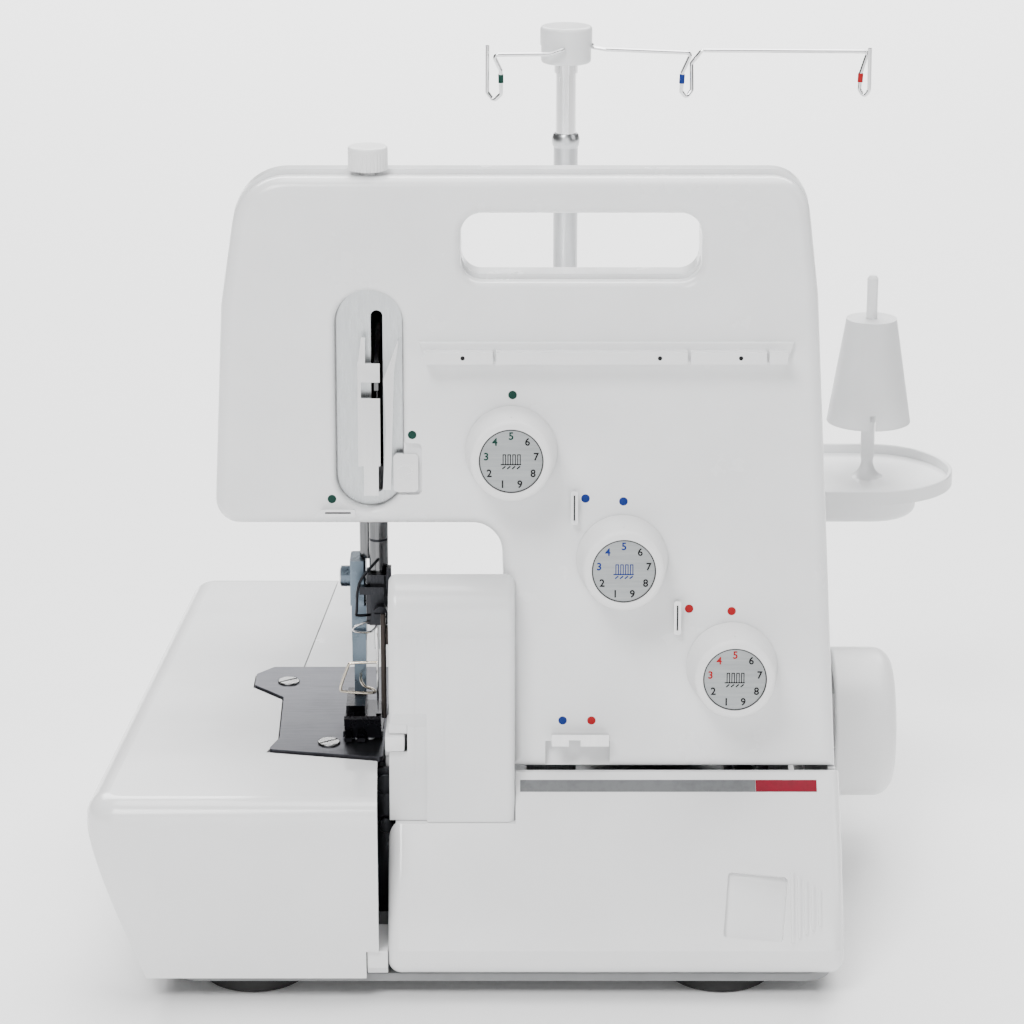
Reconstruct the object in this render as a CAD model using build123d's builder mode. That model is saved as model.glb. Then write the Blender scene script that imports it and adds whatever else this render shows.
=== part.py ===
"""Household serger overlock machine with a telescopic thread stand and a three-cone spool tray.

Frame: millimetres, +Z up, +X to the right as the user sees it, -Y towards the user. The origin is on
the table under the middle of the machine's outer box.
"""
from build123d import *
from math import cos, radians, sin
import os

# ---- driving dimensions -------------------------------------------------------------------------
WALL = 2.6                      # moulded cover wall
GAP = 0.4                       # clearance between neighbouring covers
BED_Z = 78.0                    # top of the cloth plate
BED_LEFT = -172.13              # widest point of the bed before its corners are rounded
BED_FRONT = -139.0
BED_BACK = 121.0
FLOOR_GAP = 6.0                 # underside of the base pan above the table
PAN_TOP = 9.0

PANEL_Y = -98.5                 # foot of the leaning front panel
PANEL_Z = 76.0
LEAN = 5.0                      # degrees the front panel leans back
PANEL_DEPTH = 11.0              # depth of the front cover
TOP_Z = 296.5                   # top of the carrying handle
ARM_Z = 169.0                   # underside of the arm
COLUMN_X = -19.5                # left side of the column, in the throat
HANDLE_BACK = -61.0
DECK_Z = 114.2                  # rear deck that carries the thread stand
BACK_WALL = 66.0

HANDLE_X0, HANDLE_X1 = -34.5, 52.5
HANDLE_S0, HANDLE_S1 = 182.5, 207.5

DIAL_FIRST = (-16.3, 120.7)     # tension dial centres on the panel: across, up the panel
DIAL_STEP = (40.8, -40.6)
DIAL_BASE_R, DIAL_TOP_R, DIAL_H = 16.8, 14.6, 19.0
DIAL_COUNT = 3

RECESS_X = -68.0                # take-up recess
RECESS_W = 25.0
RECESS_S0, RECESS_S1 = 99.0, 179.5
RECESS_DEPTH = 8.0
SLOT_X = -65.3
SLOT_W = 4.4
SLOT_S0, SLOT_S1 = 104.0, 171.5

CLAMP_POCKET_AT = (-54.7, 113.9)
CLAMP_SCREW_AT = (-55.3, 112.2)

KNOB_Y = -69.8
LIFTER_AT = (-85.0, 192.0)      # x, z of the presser lifter's shaft
NEEDLE_BAR = (-66.3, -60.0)
PRESSER_BAR = (-70.8, -52.0)
LEVER_Y, LEVER_Z = 0.0, 205.0   # shaft of the needle lever
LEVER_TILT = 11.5               # degrees above level at rest
LEVER_REACH = 60.0

SHAFT_Y, SHAFT_Z = 5.0, 55.0    # main shaft
MOTOR_Y, MOTOR_Z = 82.0, 52.0

COVER_HINGE = (-132.6, 15.4)    # y, z of the looper cover's hinge rod
COVER_X0, COVER_X1 = -61.6, 106.0
HINGE_LUG_X = (-48.0, 95.0)
GUARD_X0, GUARD_X1 = -61.4, -15.0
GUARD_TOP = 150.5

TUBE_X, TUBE_Y = 6.0, 91.0      # thread stand
TRAY_Y = 102.8
TRAY_R = 36.2
PIN_X = (-35.0, 50.0, 135.0)
TRAY_FLOOR = 129.0
RIM_Z = 133.0
BOSS_R = 21.0
BEAD_Z = 275.0                  # top of the outer tube
HEAD_Z = 308.0                  # underside of the guide cap
WIRE_R = 0.8

PANEL = Plane(origin=(0, PANEL_Y, PANEL_Z), x_dir=(1, 0, 0),
              z_dir=(0, -cos(radians(LEAN)), sin(radians(LEAN))))


def panel_at(depth):
    """The front panel's plane, moved out of the panel (positive) or into it (negative)."""
    return PANEL.offset(depth)


def save(builder, label):
    """Names a finished piece and writes it."""
    builder.part.label = label
    export_step(builder.part, f"parts/{label}.step")


def dial_centre(index):
    return (DIAL_FIRST[0] + index * DIAL_STEP[0], DIAL_FIRST[1] + index * DIAL_STEP[1])


def cylinder_x(x0, x1, y, z, radius, mode=Mode.ADD):
    """A round bar along X, in the open part."""
    with BuildSketch(Plane.YZ.offset(x0)) as section:
        with Locations((y, z)):
            Circle(radius)
    extrude(section.sketch, amount=x1 - x0, mode=mode)


def cylinder_z(z0, z1, x, y, radius, mode=Mode.ADD):
    """A round bar along Z, in the open part."""
    with BuildSketch(Plane.XY.offset(z0)) as section:
        with Locations((x, y)):
            Circle(radius)
    extrude(section.sketch, amount=z1 - z0, mode=mode)


def block(x0, x1, y0, y1, z0, z1, mode=Mode.ADD):
    """A box between two corners, in the open part."""
    with Locations(((x0 + x1) / 2, (y0 + y1) / 2, (z0 + z1) / 2)):
        Box(x1 - x0, y1 - y0, z1 - z0, mode=mode)


def side_prism(points, x0, x1, mode=Mode.ADD):
    """A polygon drawn in the YZ plane and pulled along X."""
    with BuildSketch(Plane.YZ.offset(x0)) as section:
        with BuildLine():
            Polyline(*points, close=True)
        make_face()
    extrude(section.sketch, amount=x1 - x0, mode=mode)


os.makedirs("parts", exist_ok=True)

# ---- housing outline ----------------------------------------------------------------------------
# seen from the front: x, z. The arm runs left over the bed and the column stands at the right.
with BuildSketch() as outline:
    with BuildLine():
        Polyline((104.6, PANEL_Z), (95.0, 254), (90.0, TOP_Z), (-114.5, TOP_Z), (-121.5, 250),
                 (-124.7, 180), (-124.7, ARM_Z), (COLUMN_X - 0.5, ARM_Z), (COLUMN_X + 2.5, PANEL_Z),
                 close=True)
    make_face()
    fillet(outline.vertices().filter_by_position(Axis.X, -125, -124).group_by(Axis.Y)[0], 9)
    fillet(outline.vertices().filter_by_position(Axis.X, -124.8, -124.6).group_by(Axis.Y)[-1], 60)
    fillet(outline.vertices().filter_by_position(Axis.X, -115, -114), 20)
    fillet(outline.vertices().filter_by_position(Axis.X, 89, 91), 14)
    fillet(outline.vertices().filter_by_position(Axis.X, COLUMN_X - 1, COLUMN_X), 11)
outline_face = outline.sketch


def panel_outline():
    """The housing outline laid on the leaning panel, from a drawing with z along its second axis."""
    return Pos(0, -PANEL_Z, 0) * outline_face


# ---- front cover --------------------------------------------------------------------------------
with BuildPart() as front_cover:
    with BuildSketch(panel_at(-PANEL_DEPTH)):
        add(panel_outline())
    extrude(amount=PANEL_DEPTH)
    front_face = front_cover.faces().sort_by(Axis((0, 0, 0), PANEL.z_dir))[-1]
    fillet(front_face.edges(), 5)
    with BuildSketch(panel_at(-PANEL_DEPTH)):
        add(panel_outline())
        offset(amount=-WALL, mode=Mode.REPLACE)
        with Locations(((HANDLE_X0 + HANDLE_X1) / 2, (HANDLE_S0 + HANDLE_S1) / 2)):
            RectangleRounded(HANDLE_X1 - HANDLE_X0 + 2 * WALL, HANDLE_S1 - HANDLE_S0 + 2 * WALL, 9,
                             mode=Mode.SUBTRACT)
        with Locations((RECESS_X, (RECESS_S0 + RECESS_S1) / 2)):
            RectangleRounded(RECESS_W + 5, RECESS_S1 - RECESS_S0 + 5, 14, mode=Mode.SUBTRACT)
        with Locations((8, 4)):
            Rectangle(32, 24, mode=Mode.SUBTRACT)
    extrude(amount=PANEL_DEPTH - WALL, mode=Mode.SUBTRACT)
    with BuildSketch(panel_at(-PANEL_DEPTH - 1)):
        with Locations(((HANDLE_X0 + HANDLE_X1) / 2, (HANDLE_S0 + HANDLE_S1) / 2)):
            RectangleRounded(HANDLE_X1 - HANDLE_X0, HANDLE_S1 - HANDLE_S0, 7.5)
    extrude(amount=PANEL_DEPTH + 2, mode=Mode.SUBTRACT)
    with BuildSketch(panel_at(-RECESS_DEPTH)):
        with Locations((RECESS_X, (RECESS_S0 + RECESS_S1) / 2)):
            RectangleRounded(RECESS_W, RECESS_S1 - RECESS_S0, RECESS_W / 2 - 0.3)
    extrude(amount=RECESS_DEPTH + 1, mode=Mode.SUBTRACT)
    with BuildSketch(panel_at(-PANEL_DEPTH - 1)):
        with Locations((SLOT_X, (SLOT_S0 + SLOT_S1) / 2)):
            SlotOverall(SLOT_S1 - SLOT_S0, SLOT_W, rotation=90)
        for index in range(DIAL_COUNT):
            with Locations(dial_centre(index)):
                Circle(4.6)
    extrude(amount=PANEL_DEPTH + 2, mode=Mode.SUBTRACT)
    with BuildSketch(panel_at(-2.2)):
        with Locations(CLAMP_POCKET_AT):
            RectangleRounded(11.6, 19.4, 2)
    extrude(amount=4, mode=Mode.SUBTRACT)
    scoop = [PANEL.from_local_coords((0, up, -depth)) for up, depth in
             ((-3, 0.5), (10.6, 7), (10.6, -3), (-3, -3))]
    side_prism([(corner.Y, corner.Z) for corner in scoop], -3.6, 20.4, mode=Mode.SUBTRACT)
    rims = front_cover.edges().filter_by(lambda e: abs(PANEL.to_local_coords(e.center()).Z) < 0.01)
    handle_rim = rims.filter_by(lambda e: HANDLE_X0 - 1 < e.center().X < HANDLE_X1 + 1
                                and PANEL.to_local_coords(e.center()).Y > HANDLE_S0 - 1)
    fillet(handle_rim, 3.2)
    rims = front_cover.edges().filter_by(lambda e: abs(PANEL.to_local_coords(e.center()).Z) < 0.01)
    recess_rim = rims.filter_by(lambda e: abs(e.center().X - RECESS_X) < RECESS_W / 2 + 1)
    fillet(recess_rim, 2.2)
    cylinder_z(TOP_Z - 12, TOP_Z + 2, RECESS_X, KNOB_Y, 3.1, mode=Mode.SUBTRACT)
save(front_cover, "front_cover")

# ---- rear cover: one tall shell behind the panel, with the deck for the thread stand -------------
seam_y0 = PANEL_Y + PANEL_DEPTH + 0.2
seam_y1 = seam_y0 + (TOP_Z - PANEL_Z) * sin(radians(LEAN)) / cos(radians(LEAN))
SIDE_SLOPE = 1.65               # degrees the column's right side leans in
SIDE = Plane(origin=(106.5, 0, 10), x_dir=(0, 1, 0),
             z_dir=(cos(radians(SIDE_SLOPE)), 0, sin(radians(SIDE_SLOPE))))
INLET_AT = (84, 22)             # along Y, up the side wall
SWITCH_AT = (84, 50)
LENGTH_DIAL_AT = (46, 40)

with BuildSketch() as rear_outline:
    with BuildLine():
        Polyline((106.5, 10), (104.6, PANEL_Z), (95.0, 254), (90.0, TOP_Z), (-114.5, TOP_Z),
                 (-121.5, 250), (-124.7, 180), (-124.7, ARM_Z), (COLUMN_X, ARM_Z),
                 (COLUMN_X + 2.5, PANEL_Z), (COLUMN_X + 2.5, 10), close=True)
    make_face()
    fillet(rear_outline.vertices().filter_by_position(Axis.X, -125, -124).group_by(Axis.Y)[0], 9)
    fillet(rear_outline.vertices().filter_by_position(Axis.X, -115, -114), 20)
    fillet(rear_outline.vertices().filter_by_position(Axis.X, 89, 91), 14)
    fillet(rear_outline.vertices().filter_by_position(Axis.X, COLUMN_X - 1, COLUMN_X + 0.1), 11)

with BuildPart() as rear_cavity:
    with BuildSketch(Plane.XZ.offset(110)):
        add(rear_outline.sketch)
        offset(amount=-WALL, mode=Mode.REPLACE)
        with Locations((45, 6)):
            Rectangle(118, 30)
    extrude(amount=-260)
    side_prism([(-110, -9), (-110, TOP_Z - WALL), (HANDLE_BACK - WALL, TOP_Z - WALL),
                (HANDLE_BACK - WALL, 250), (BACK_WALL - 9, 213 - WALL), (BACK_WALL - WALL, 203),
                (BACK_WALL - WALL, DECK_Z - WALL), (BED_BACK - WALL, DECK_Z - WALL),
                (BED_BACK - WALL, -9)], -130, 110, mode=Mode.INTERSECT)
    with BuildSketch(Plane.XZ.offset(110)):
        with Locations(((HANDLE_X0 + HANDLE_X1) / 2, PANEL_Z + (HANDLE_S0 + HANDLE_S1) / 2)):
            RectangleRounded(HANDLE_X1 - HANDLE_X0 + 2 * WALL, HANDLE_S1 - HANDLE_S0 + 2 * WALL, 9)
    extrude(amount=-60, mode=Mode.SUBTRACT)

with BuildPart() as rear_cover:
    with BuildSketch(Plane.XZ.offset(110)):
        add(rear_outline.sketch)
    extrude(amount=-260)
    side_prism([(-79, 10), (-79, 60.8), (-87.6, 68.9), (-97.3, PANEL_Z - GAP), (seam_y0, PANEL_Z - 1.5),
                (seam_y1, TOP_Z), (HANDLE_BACK, TOP_Z), (HANDLE_BACK, 251),
                (BACK_WALL - 8, 213), (BACK_WALL, 203), (BACK_WALL, DECK_Z), (BED_BACK, DECK_Z),
                (BED_BACK, 10)], -130, 110, mode=Mode.INTERSECT)
    top_back = rear_cover.edges().filter_by(Axis.X).filter_by_position(Axis.Z, 202, TOP_Z + 1)
    fillet(top_back.filter_by_position(Axis.Y, BACK_WALL - 9, BACK_WALL + 1), 6)
    fillet(rear_cover.edges().filter_by(Axis.X).filter_by_position(Axis.Y, BED_BACK - 1, BED_BACK + 1)
           .sort_by(Axis.Z)[-1], 6)
    add(rear_cavity.part, mode=Mode.SUBTRACT)
    with BuildSketch(Plane.XZ.offset(110)):
        with Locations(((HANDLE_X0 + HANDLE_X1) / 2, PANEL_Z + (HANDLE_S0 + HANDLE_S1) / 2)):
            RectangleRounded(HANDLE_X1 - HANDLE_X0, HANDLE_S1 - HANDLE_S0, 7.5)
    extrude(amount=-60, mode=Mode.SUBTRACT)
    cylinder_z(TOP_Z - 12, TOP_Z + 2, RECESS_X, KNOB_Y, 3.1, mode=Mode.SUBTRACT)
    block(-78, -56, -68, -44, ARM_Z - 5, ARM_Z + 6, mode=Mode.SUBTRACT)
    with BuildSketch(Plane.XZ.offset(-BACK_WALL - 2)):
        with Locations(LIFTER_AT):
            Circle(3.4)
    extrude(amount=8, mode=Mode.SUBTRACT)
    block(COLUMN_X - 2, COLUMN_X + 6, -100, BED_BACK - WALL, 0, PANEL_Z, mode=Mode.SUBTRACT)
    with BuildSketch(Plane.YZ.offset(96)):
        with Locations((SHAFT_Y, SHAFT_Z)):
            Circle(8)
    extrude(amount=14, mode=Mode.SUBTRACT)
    with BuildSketch(Plane.XY.offset(DECK_Z - 10)):
        with Locations((TUBE_X, TUBE_Y)):
            Circle(5.3)
    extrude(amount=14, mode=Mode.SUBTRACT)
    with BuildSketch(SIDE.offset(-8)):
        with Locations(INLET_AT):
            RectangleRounded(27, 19, 2)
        with Locations(SWITCH_AT):
            RectangleRounded(23, 15.6, 1.5)
        with Locations(LENGTH_DIAL_AT):
            Circle(3.2)
    extrude(amount=14, mode=Mode.SUBTRACT)
    with BuildSketch(Plane.XZ.offset(-BED_BACK - 2)):
        with GridLocations(7, 0, 12, 1):
            with Locations((30, 62)):
                SlotOverall(34, 3, rotation=90)
    extrude(amount=8, mode=Mode.SUBTRACT)
save(rear_cover, "rear_cover")

# ---- base pan and feet --------------------------------------------------------------------------
FOOT_X = (-112.0, 61.5)
FOOT_Y = (-112.0, 92.0)
FOOT_R = 20.0
LEFT_FLARE = Plane(origin=(BED_LEFT, BED_FRONT, 66), x_dir=Vector(18, 260, 0).normalized(),
                   z_dir=Vector(-260, 18, -100).normalized())
BED_PIVOT = Plane(origin=(-138.3, -9, 14), x_dir=Vector(260, -18, 0).normalized(),
                  z_dir=LEFT_FLARE.x_dir)
BED_HINGES = (-92.0, 88.0)      # hinge stations along the pivot line
PIVOT_PIN_R = 1.5

with BuildPart() as base_pan:
    with BuildSketch(Plane.XY.offset(FLOOR_GAP)) as pan_plan:
        with BuildLine():
            Polyline((-142, -134), (102, -134), (102, 116.5), (-124, 116.5), close=True)
        make_face()
        fillet(pan_plan.vertices(), 10)
    extrude(amount=PAN_TOP - FLOOR_GAP)
    for station in BED_HINGES:
        with BuildSketch(BED_PIVOT.offset(station)) as arm:
            with Locations((4.5, 0)):
                Rectangle(9, 3.2)
            with Locations((7.4, 2.8)):
                Rectangle(3.2, 5.6)
        extrude(arm.sketch, amount=5)
        with BuildSketch(BED_PIVOT.offset(station)) as pin:
            Circle(PIVOT_PIN_R)
        extrude(pin.sketch, amount=13)
save(base_pan, "base_pan")

with BuildPart() as rubber_feet:
    with BuildSketch():
        with Locations(*[(x, y) for x in FOOT_X for y in FOOT_Y]):
            Circle(FOOT_R)
    extrude(amount=FLOOR_GAP)
    fillet(rubber_feet.faces().filter_by(Axis.Z).group_by(Axis.Z)[0].edges(), 1.5)
save(rubber_feet, "rubber_feet")

# ---- bed ----------------------------------------------------------------------------------------
bed_edge = [(-154, BED_BACK), (-91, BED_BACK), (-100, 3.4), (-112, 3.4), (-118.4, -5), (-118.4, -18),
            (-106, -31.8), (-104.8, -75), (-108.4, -87.5), (-66.3, -96.4), (-64.8, BED_FRONT),
            (BED_LEFT, BED_FRONT)]

with BuildSketch() as bed_plan:
    with BuildLine():
        Polyline(*bed_edge, close=True)
    make_face()
    fillet(bed_plan.vertices().filter_by_position(Axis.X, BED_LEFT - 1, BED_LEFT + 1), 13)
    fillet(bed_plan.vertices().filter_by_position(Axis.X, -155, -153), 10)

with BuildPart() as bed_cavity:
    with BuildSketch(Plane.XY.offset(0)):
        add(bed_plan.sketch)
        offset(amount=-WALL, mode=Mode.REPLACE)
        with BuildLine():
            Polyline((-124, BED_BACK - WALL), (-60, BED_BACK - WALL), (-60, BED_FRONT + WALL),
                     (-124, BED_FRONT + WALL), close=True)
        make_face()
    extrude(amount=BED_Z - WALL)
    split(bisect_by=LEFT_FLARE.offset(-WALL), keep=Keep.BOTTOM)

with BuildPart() as cloth_plate_cover:
    with BuildSketch(Plane.XY.offset(PAN_TOP + GAP)):
        add(bed_plan.sketch)
    extrude(amount=BED_Z - PAN_TOP - GAP)
    split(bisect_by=LEFT_FLARE, keep=Keep.BOTTOM)
    rim = cloth_plate_cover.faces().sort_by(Axis.Z)[-1].edges()
    outer_rim = rim.filter_by(lambda e: e.center().Y > BED_BACK - 12 or e.center().Y < BED_FRONT + 5
                              or e.center().X < -150)
    fillet(outer_rim, 8.5)
    add(bed_cavity.part, mode=Mode.SUBTRACT)
    block(-69.4, -60, -145, -112, 0, 20, mode=Mode.SUBTRACT)
    for station in BED_HINGES:
        with BuildSketch(BED_PIVOT.offset(station + 5.6)) as knuckle:
            Circle(3.2)
        extrude(knuckle.sketch, amount=6)
        with BuildSketch(BED_PIVOT.offset(station + 5)) as knuckle_bore:
            Circle(PIVOT_PIN_R + 0.05)
        extrude(knuckle_bore.sketch, amount=9, mode=Mode.SUBTRACT)
save(cloth_plate_cover, "cloth_plate_cover")

with BuildPart() as bed_plate:
    with BuildSketch(Plane.XY.offset(PAN_TOP + GAP)):
        with BuildLine():
            Polyline((-90.5, BED_BACK), (COLUMN_X + 1.6, BED_BACK), (COLUMN_X + 1.6, -35), (-61.5, -35),
                     (-61.5, 3.2), (-99.5, 3.2), close=True)
        make_face()
    extrude(amount=BED_Z - PAN_TOP - GAP)
    with BuildSketch(Plane.XY.offset(0)):
        with BuildLine():
            Polyline((-110, BED_BACK - WALL), (COLUMN_X + 9, BED_BACK - WALL), (COLUMN_X + 9, -40),
                     (-110, -40), close=True)
        make_face()
    extrude(amount=BED_Z - WALL, mode=Mode.SUBTRACT)
save(bed_plate, "bed_plate")

# ---- needle plate -------------------------------------------------------------------------------
PLATE_TOP = 79.0
PLATE_T = 1.8
PLATE_SCREWS = [(-104.5, -14.7), (-85.1, -80.5)]
FEED_SLOTS = (-74.6, -69.6)

with BuildPart() as needle_plate:
    with BuildSketch(Plane.XY.offset(PLATE_TOP - PLATE_T)) as plate_plan:
        with BuildLine():
            Polyline((-111.4, 2.8), (-64.2, 2.8), (-64.2, -95.2), (-107.6, -86.6), (-104.2, -75),
                     (-105.4, -31.4), (-117.8, -17.6), (-117.8, -5.2), close=True)
        make_face()
        fillet(plate_plan.vertices(), 1.8)
    extrude(amount=PLATE_T)
    with BuildSketch(Plane.XY.offset(PLATE_TOP - PLATE_T)):
        with Locations(*[(x, -60) for x in FEED_SLOTS]):
            SlotOverall(34, 3.2, rotation=90)
        with Locations((-67.2, -61.5)):
            Rectangle(1.6, 5)
        with Locations(*PLATE_SCREWS):
            Circle(1.7)
    extrude(amount=PLATE_T, mode=Mode.SUBTRACT)
save(needle_plate, "needle_plate")

with BuildPart() as needle_plate_screws:
    for x, y in PLATE_SCREWS:
        cylinder_z(PLATE_TOP, PLATE_TOP + 0.9, x, y, 4.3)
        cylinder_z(70, PLATE_TOP, x, y, 1.6)
    fillet(needle_plate_screws.edges().filter_by(GeomType.CIRCLE).group_by(Axis.Z)[-1], 0.5)
    for x, y in PLATE_SCREWS:
        with Locations(Location((x, y, PLATE_TOP + 1), (0, 0, 35))):
            Box(10, 1.1, 1.2, mode=Mode.SUBTRACT)
save(needle_plate_screws, "needle_plate_screws")

# ---- looper cover and the knife guard that stands on it -----------------------------------------
cover_top = (-100.5, 75.2)
cover_mid = (-122.0, 50.0)
cover_low = (-138.6, 20.0)
GUARD_SEAT = 60.4


COVER_FLOOR = PAN_TOP + GAP
FRONT_EDGE = -138.6

with BuildSketch() as cover_profile:
    with BuildLine():
        slope = ThreePointArc(cover_top, cover_mid, cover_low)
        Polyline(slope @ 1, (FRONT_EDGE, COVER_FLOOR), (-79.8, COVER_FLOOR), (-79.8, 59.8),
                 (-88.3, 67.8), (-98.3, 75.2), slope @ 0)
    make_face()
    fillet(cover_profile.vertices().filter_by_position(Axis.X, -139, -138).sort_by(Axis.Y)[0], 6)

with BuildSketch() as cover_inside:
    add(cover_profile.sketch)
    offset(amount=-WALL, mode=Mode.REPLACE)
    with BuildLine():
        Polyline((-112, COVER_FLOOR + WALL), (-75, COVER_FLOOR - 4), (-75, 72.4), (-98.5, 72.4),
                 (-112, 58), close=True)
    make_face()

GRIP_SLOPE = 27.5               # degrees the cover leans back at the finger grip
GRIP = Plane(origin=(73.3, -131.6, 34.5), x_dir=(1, 0, 0),
             z_dir=(0, -cos(radians(GRIP_SLOPE)), sin(radians(GRIP_SLOPE))))
GRIP_FLOOR = GRIP.offset(-3.2).rotated((0, 6, 0))

with BuildPart() as looper_cover:
    with BuildSketch(Plane.YZ.offset(COVER_X0)):
        add(cover_profile.sketch)
    extrude(amount=COVER_X1 - COVER_X0)
    ends = looper_cover.faces().filter_by(Axis.X)
    front_edges = ends.edges().filter_by(lambda e: e.center().Y < -104)
    fillet(front_edges, 5)
    with BuildSketch(Plane.YZ.offset(COVER_X0 + WALL)):
        add(cover_inside.sketch)
    extrude(amount=COVER_X1 - COVER_X0 - 2 * WALL, mode=Mode.SUBTRACT)
    block(COVER_X0 - 1, GUARD_X1 + 0.3, -118, -70, GUARD_SEAT - 0.2, 80, mode=Mode.SUBTRACT)
    side_prism([(-137.6, 19.6), (-137.6, 13), (-135.4, 10), (-132, COVER_FLOOR), (-114, COVER_FLOOR),
                (-114, 19.6)], -69.0, COVER_X0)
    block(COVER_X0 - 1, COVER_X0 + WALL + 0.1, -113.5, -70, 0, 80, mode=Mode.SUBTRACT)
    for x in HINGE_LUG_X:
        block(x - 3.6, x + 3.6, -134.5, -70, 0, 26, mode=Mode.SUBTRACT)
    with BuildSketch(GRIP.offset(-6.6)):
        Rectangle(25, 28)
    extrude(amount=5)
    with BuildSketch(GRIP_FLOOR):
        RectangleRounded(22, 24, 1.5)
    extrude(amount=14, mode=Mode.SUBTRACT)
    with BuildSketch(GRIP.offset(-1)):
        for index, length in enumerate((26, 23, 20, 17, 14)):
            with Locations((13.6 + index * 2.5, 0)):
                SlotOverall(length, 1.1, rotation=90)
    extrude(amount=2.0)
save(looper_cover, "looper_cover")

with BuildPart() as knife_guard:
    with BuildSketch(Plane.YZ.offset(GUARD_X0)):
        with BuildLine():
            front = Line((-113, GUARD_SEAT), (-106, 130))
            crown = ThreePointArc(front @ 1, (-103, 145), (-94, GUARD_TOP))
            Polyline(crown @ 1, (-90, GUARD_TOP), (-90, GUARD_SEAT), front @ 0)
        make_face()
    extrude(amount=GUARD_X1 - GUARD_X0)
    guard_ends = knife_guard.faces().filter_by(Axis.X)
    fillet(guard_ends.edges().filter_by(lambda e: e.center().Z > GUARD_SEAT + 1 and e.center().Y < -91), 3)
    with BuildSketch(Plane.YZ.offset(GUARD_X0 + 2.4)):
        with BuildLine():
            Polyline((-110, GUARD_SEAT - 1), (-103.4, 130), (-100.5, 143), (-94, GUARD_TOP - 2.6),
                     (-89, GUARD_TOP - 2.6), (-89, GUARD_SEAT - 1), close=True)
        make_face()
    extrude(amount=GUARD_X1 - GUARD_X0 - 4.8, mode=Mode.SUBTRACT)
    split(bisect_by=panel_at(1.0), keep=Keep.TOP)
    with BuildSketch(Plane.YZ.offset(GUARD_X0 - 1)):
        with BuildLine():
            Polyline((-120, 50), (-112.0, 50), (-107.6, 96), (-109.4, 104), (-120, 104), close=True)
        make_face()
    extrude(amount=15, mode=Mode.SUBTRACT)
    block(GUARD_X0 - 1, -54.6, -125, -90, 86.5, 97, mode=Mode.SUBTRACT)
save(knife_guard, "knife_guard")

with BuildPart() as cover_hinge_rod:
    cylinder_x(COVER_X0 + 4, COVER_X1 - 4, COVER_HINGE[0], COVER_HINGE[1], 2)
    for x in HINGE_LUG_X:
        block(x - 3, x + 3, COVER_HINGE[0], -104, COVER_HINGE[1] - 1.6, COVER_HINGE[1] + 1.6)
        block(x - 3, x + 3, -107, -104, PAN_TOP + 0.3, COVER_HINGE[1] + 1.6)
save(cover_hinge_rod, "cover_hinge_rod")

# ---- chassis ------------------------------------------------------------------------------------
BUSH_R = 9.0
UPRIGHT_X = (-88.0, 86.0)
UPRIGHT_T = 8.0

with BuildPart() as chassis_frame:
    block(-120, 98, -92, 60, PAN_TOP + 0.5, 16)
    for x in UPRIGHT_X:
        block(x, x + UPRIGHT_T, -20, 30, 16, 72)
        cylinder_x(x - 1, x + UPRIGHT_T + 1, SHAFT_Y, SHAFT_Z, BUSH_R, mode=Mode.SUBTRACT)
    block(-10, 10, 12, 34, 16, 186)
    block(-100, 10, 10, 36, 186, 206)
    for x in (-96, -30):
        block(x, x + 8, -9, 10, 196, 214)
        cylinder_x(x - 1, x + 9, LEVER_Y, LEVER_Z, 4.05, mode=Mode.SUBTRACT)
    block(-88, -79, -66, 36, 173, 186)
    block(-79, -58, -67, -45, 173, 184)
    block(-88, -58, 10, 36, 173, 186)
    with BuildSketch(Plane.XZ.offset(0)):
        with Locations(LIFTER_AT):
            Circle(3.05)
    extrude(amount=-60, mode=Mode.SUBTRACT)
    cylinder_z(170, 190, NEEDLE_BAR[0], NEEDLE_BAR[1], 3.65, mode=Mode.SUBTRACT)
    cylinder_z(170, 190, PRESSER_BAR[0], PRESSER_BAR[1], 3.05, mode=Mode.SUBTRACT)
    for x, y in PLATE_SCREWS:
        cylinder_z(16, PLATE_TOP - PLATE_T, x, y, 4.5)
        cylinder_z(60, PLATE_TOP, x, y, 1.65, mode=Mode.SUBTRACT)
save(chassis_frame, "chassis_frame")

# ---- main drive ---------------------------------------------------------------------------------
SHAFT_R = 6.0
PULLEY_X = 71.0
DRIVE_R, MOTOR_R = 26.0, 7.0
BELT_W = 6.0

with BuildPart() as shaft_bushes:
    for x in UPRIGHT_X:
        cylinder_x(x, x + UPRIGHT_T, SHAFT_Y, SHAFT_Z, BUSH_R)
        cylinder_x(x - 1, x + UPRIGHT_T + 1, SHAFT_Y, SHAFT_Z, SHAFT_R + 0.05, mode=Mode.SUBTRACT)
save(shaft_bushes, "shaft_bushes")

with BuildPart() as main_shaft:
    cylinder_x(-92, 132, SHAFT_Y, SHAFT_Z, SHAFT_R)
    chamfer(main_shaft.edges().filter_by(GeomType.CIRCLE), 0.6)
save(main_shaft, "main_shaft")


def pulley(x, y, z, radius, bore):
    """A flanged flat-belt pulley on an X axis, in the open part."""
    cylinder_x(x, x + BELT_W + 4, y, z, radius)
    cylinder_x(x, x + 1.5, y, z, radius + 2)
    cylinder_x(x + BELT_W + 2.5, x + BELT_W + 4, y, z, radius + 2)
    cylinder_x(x - 1, x + BELT_W + 5, y, z, bore, mode=Mode.SUBTRACT)


with BuildPart() as drive_pulley:
    pulley(PULLEY_X, SHAFT_Y, SHAFT_Z, DRIVE_R, SHAFT_R)
save(drive_pulley, "drive_pulley")

with BuildPart() as motor_pulley:
    pulley(PULLEY_X, MOTOR_Y, MOTOR_Z, MOTOR_R, 3)
    cylinder_x(PULLEY_X - 1.5, PULLEY_X + BELT_W + 4, MOTOR_Y, MOTOR_Z, 3)
save(motor_pulley, "motor_pulley")

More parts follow.
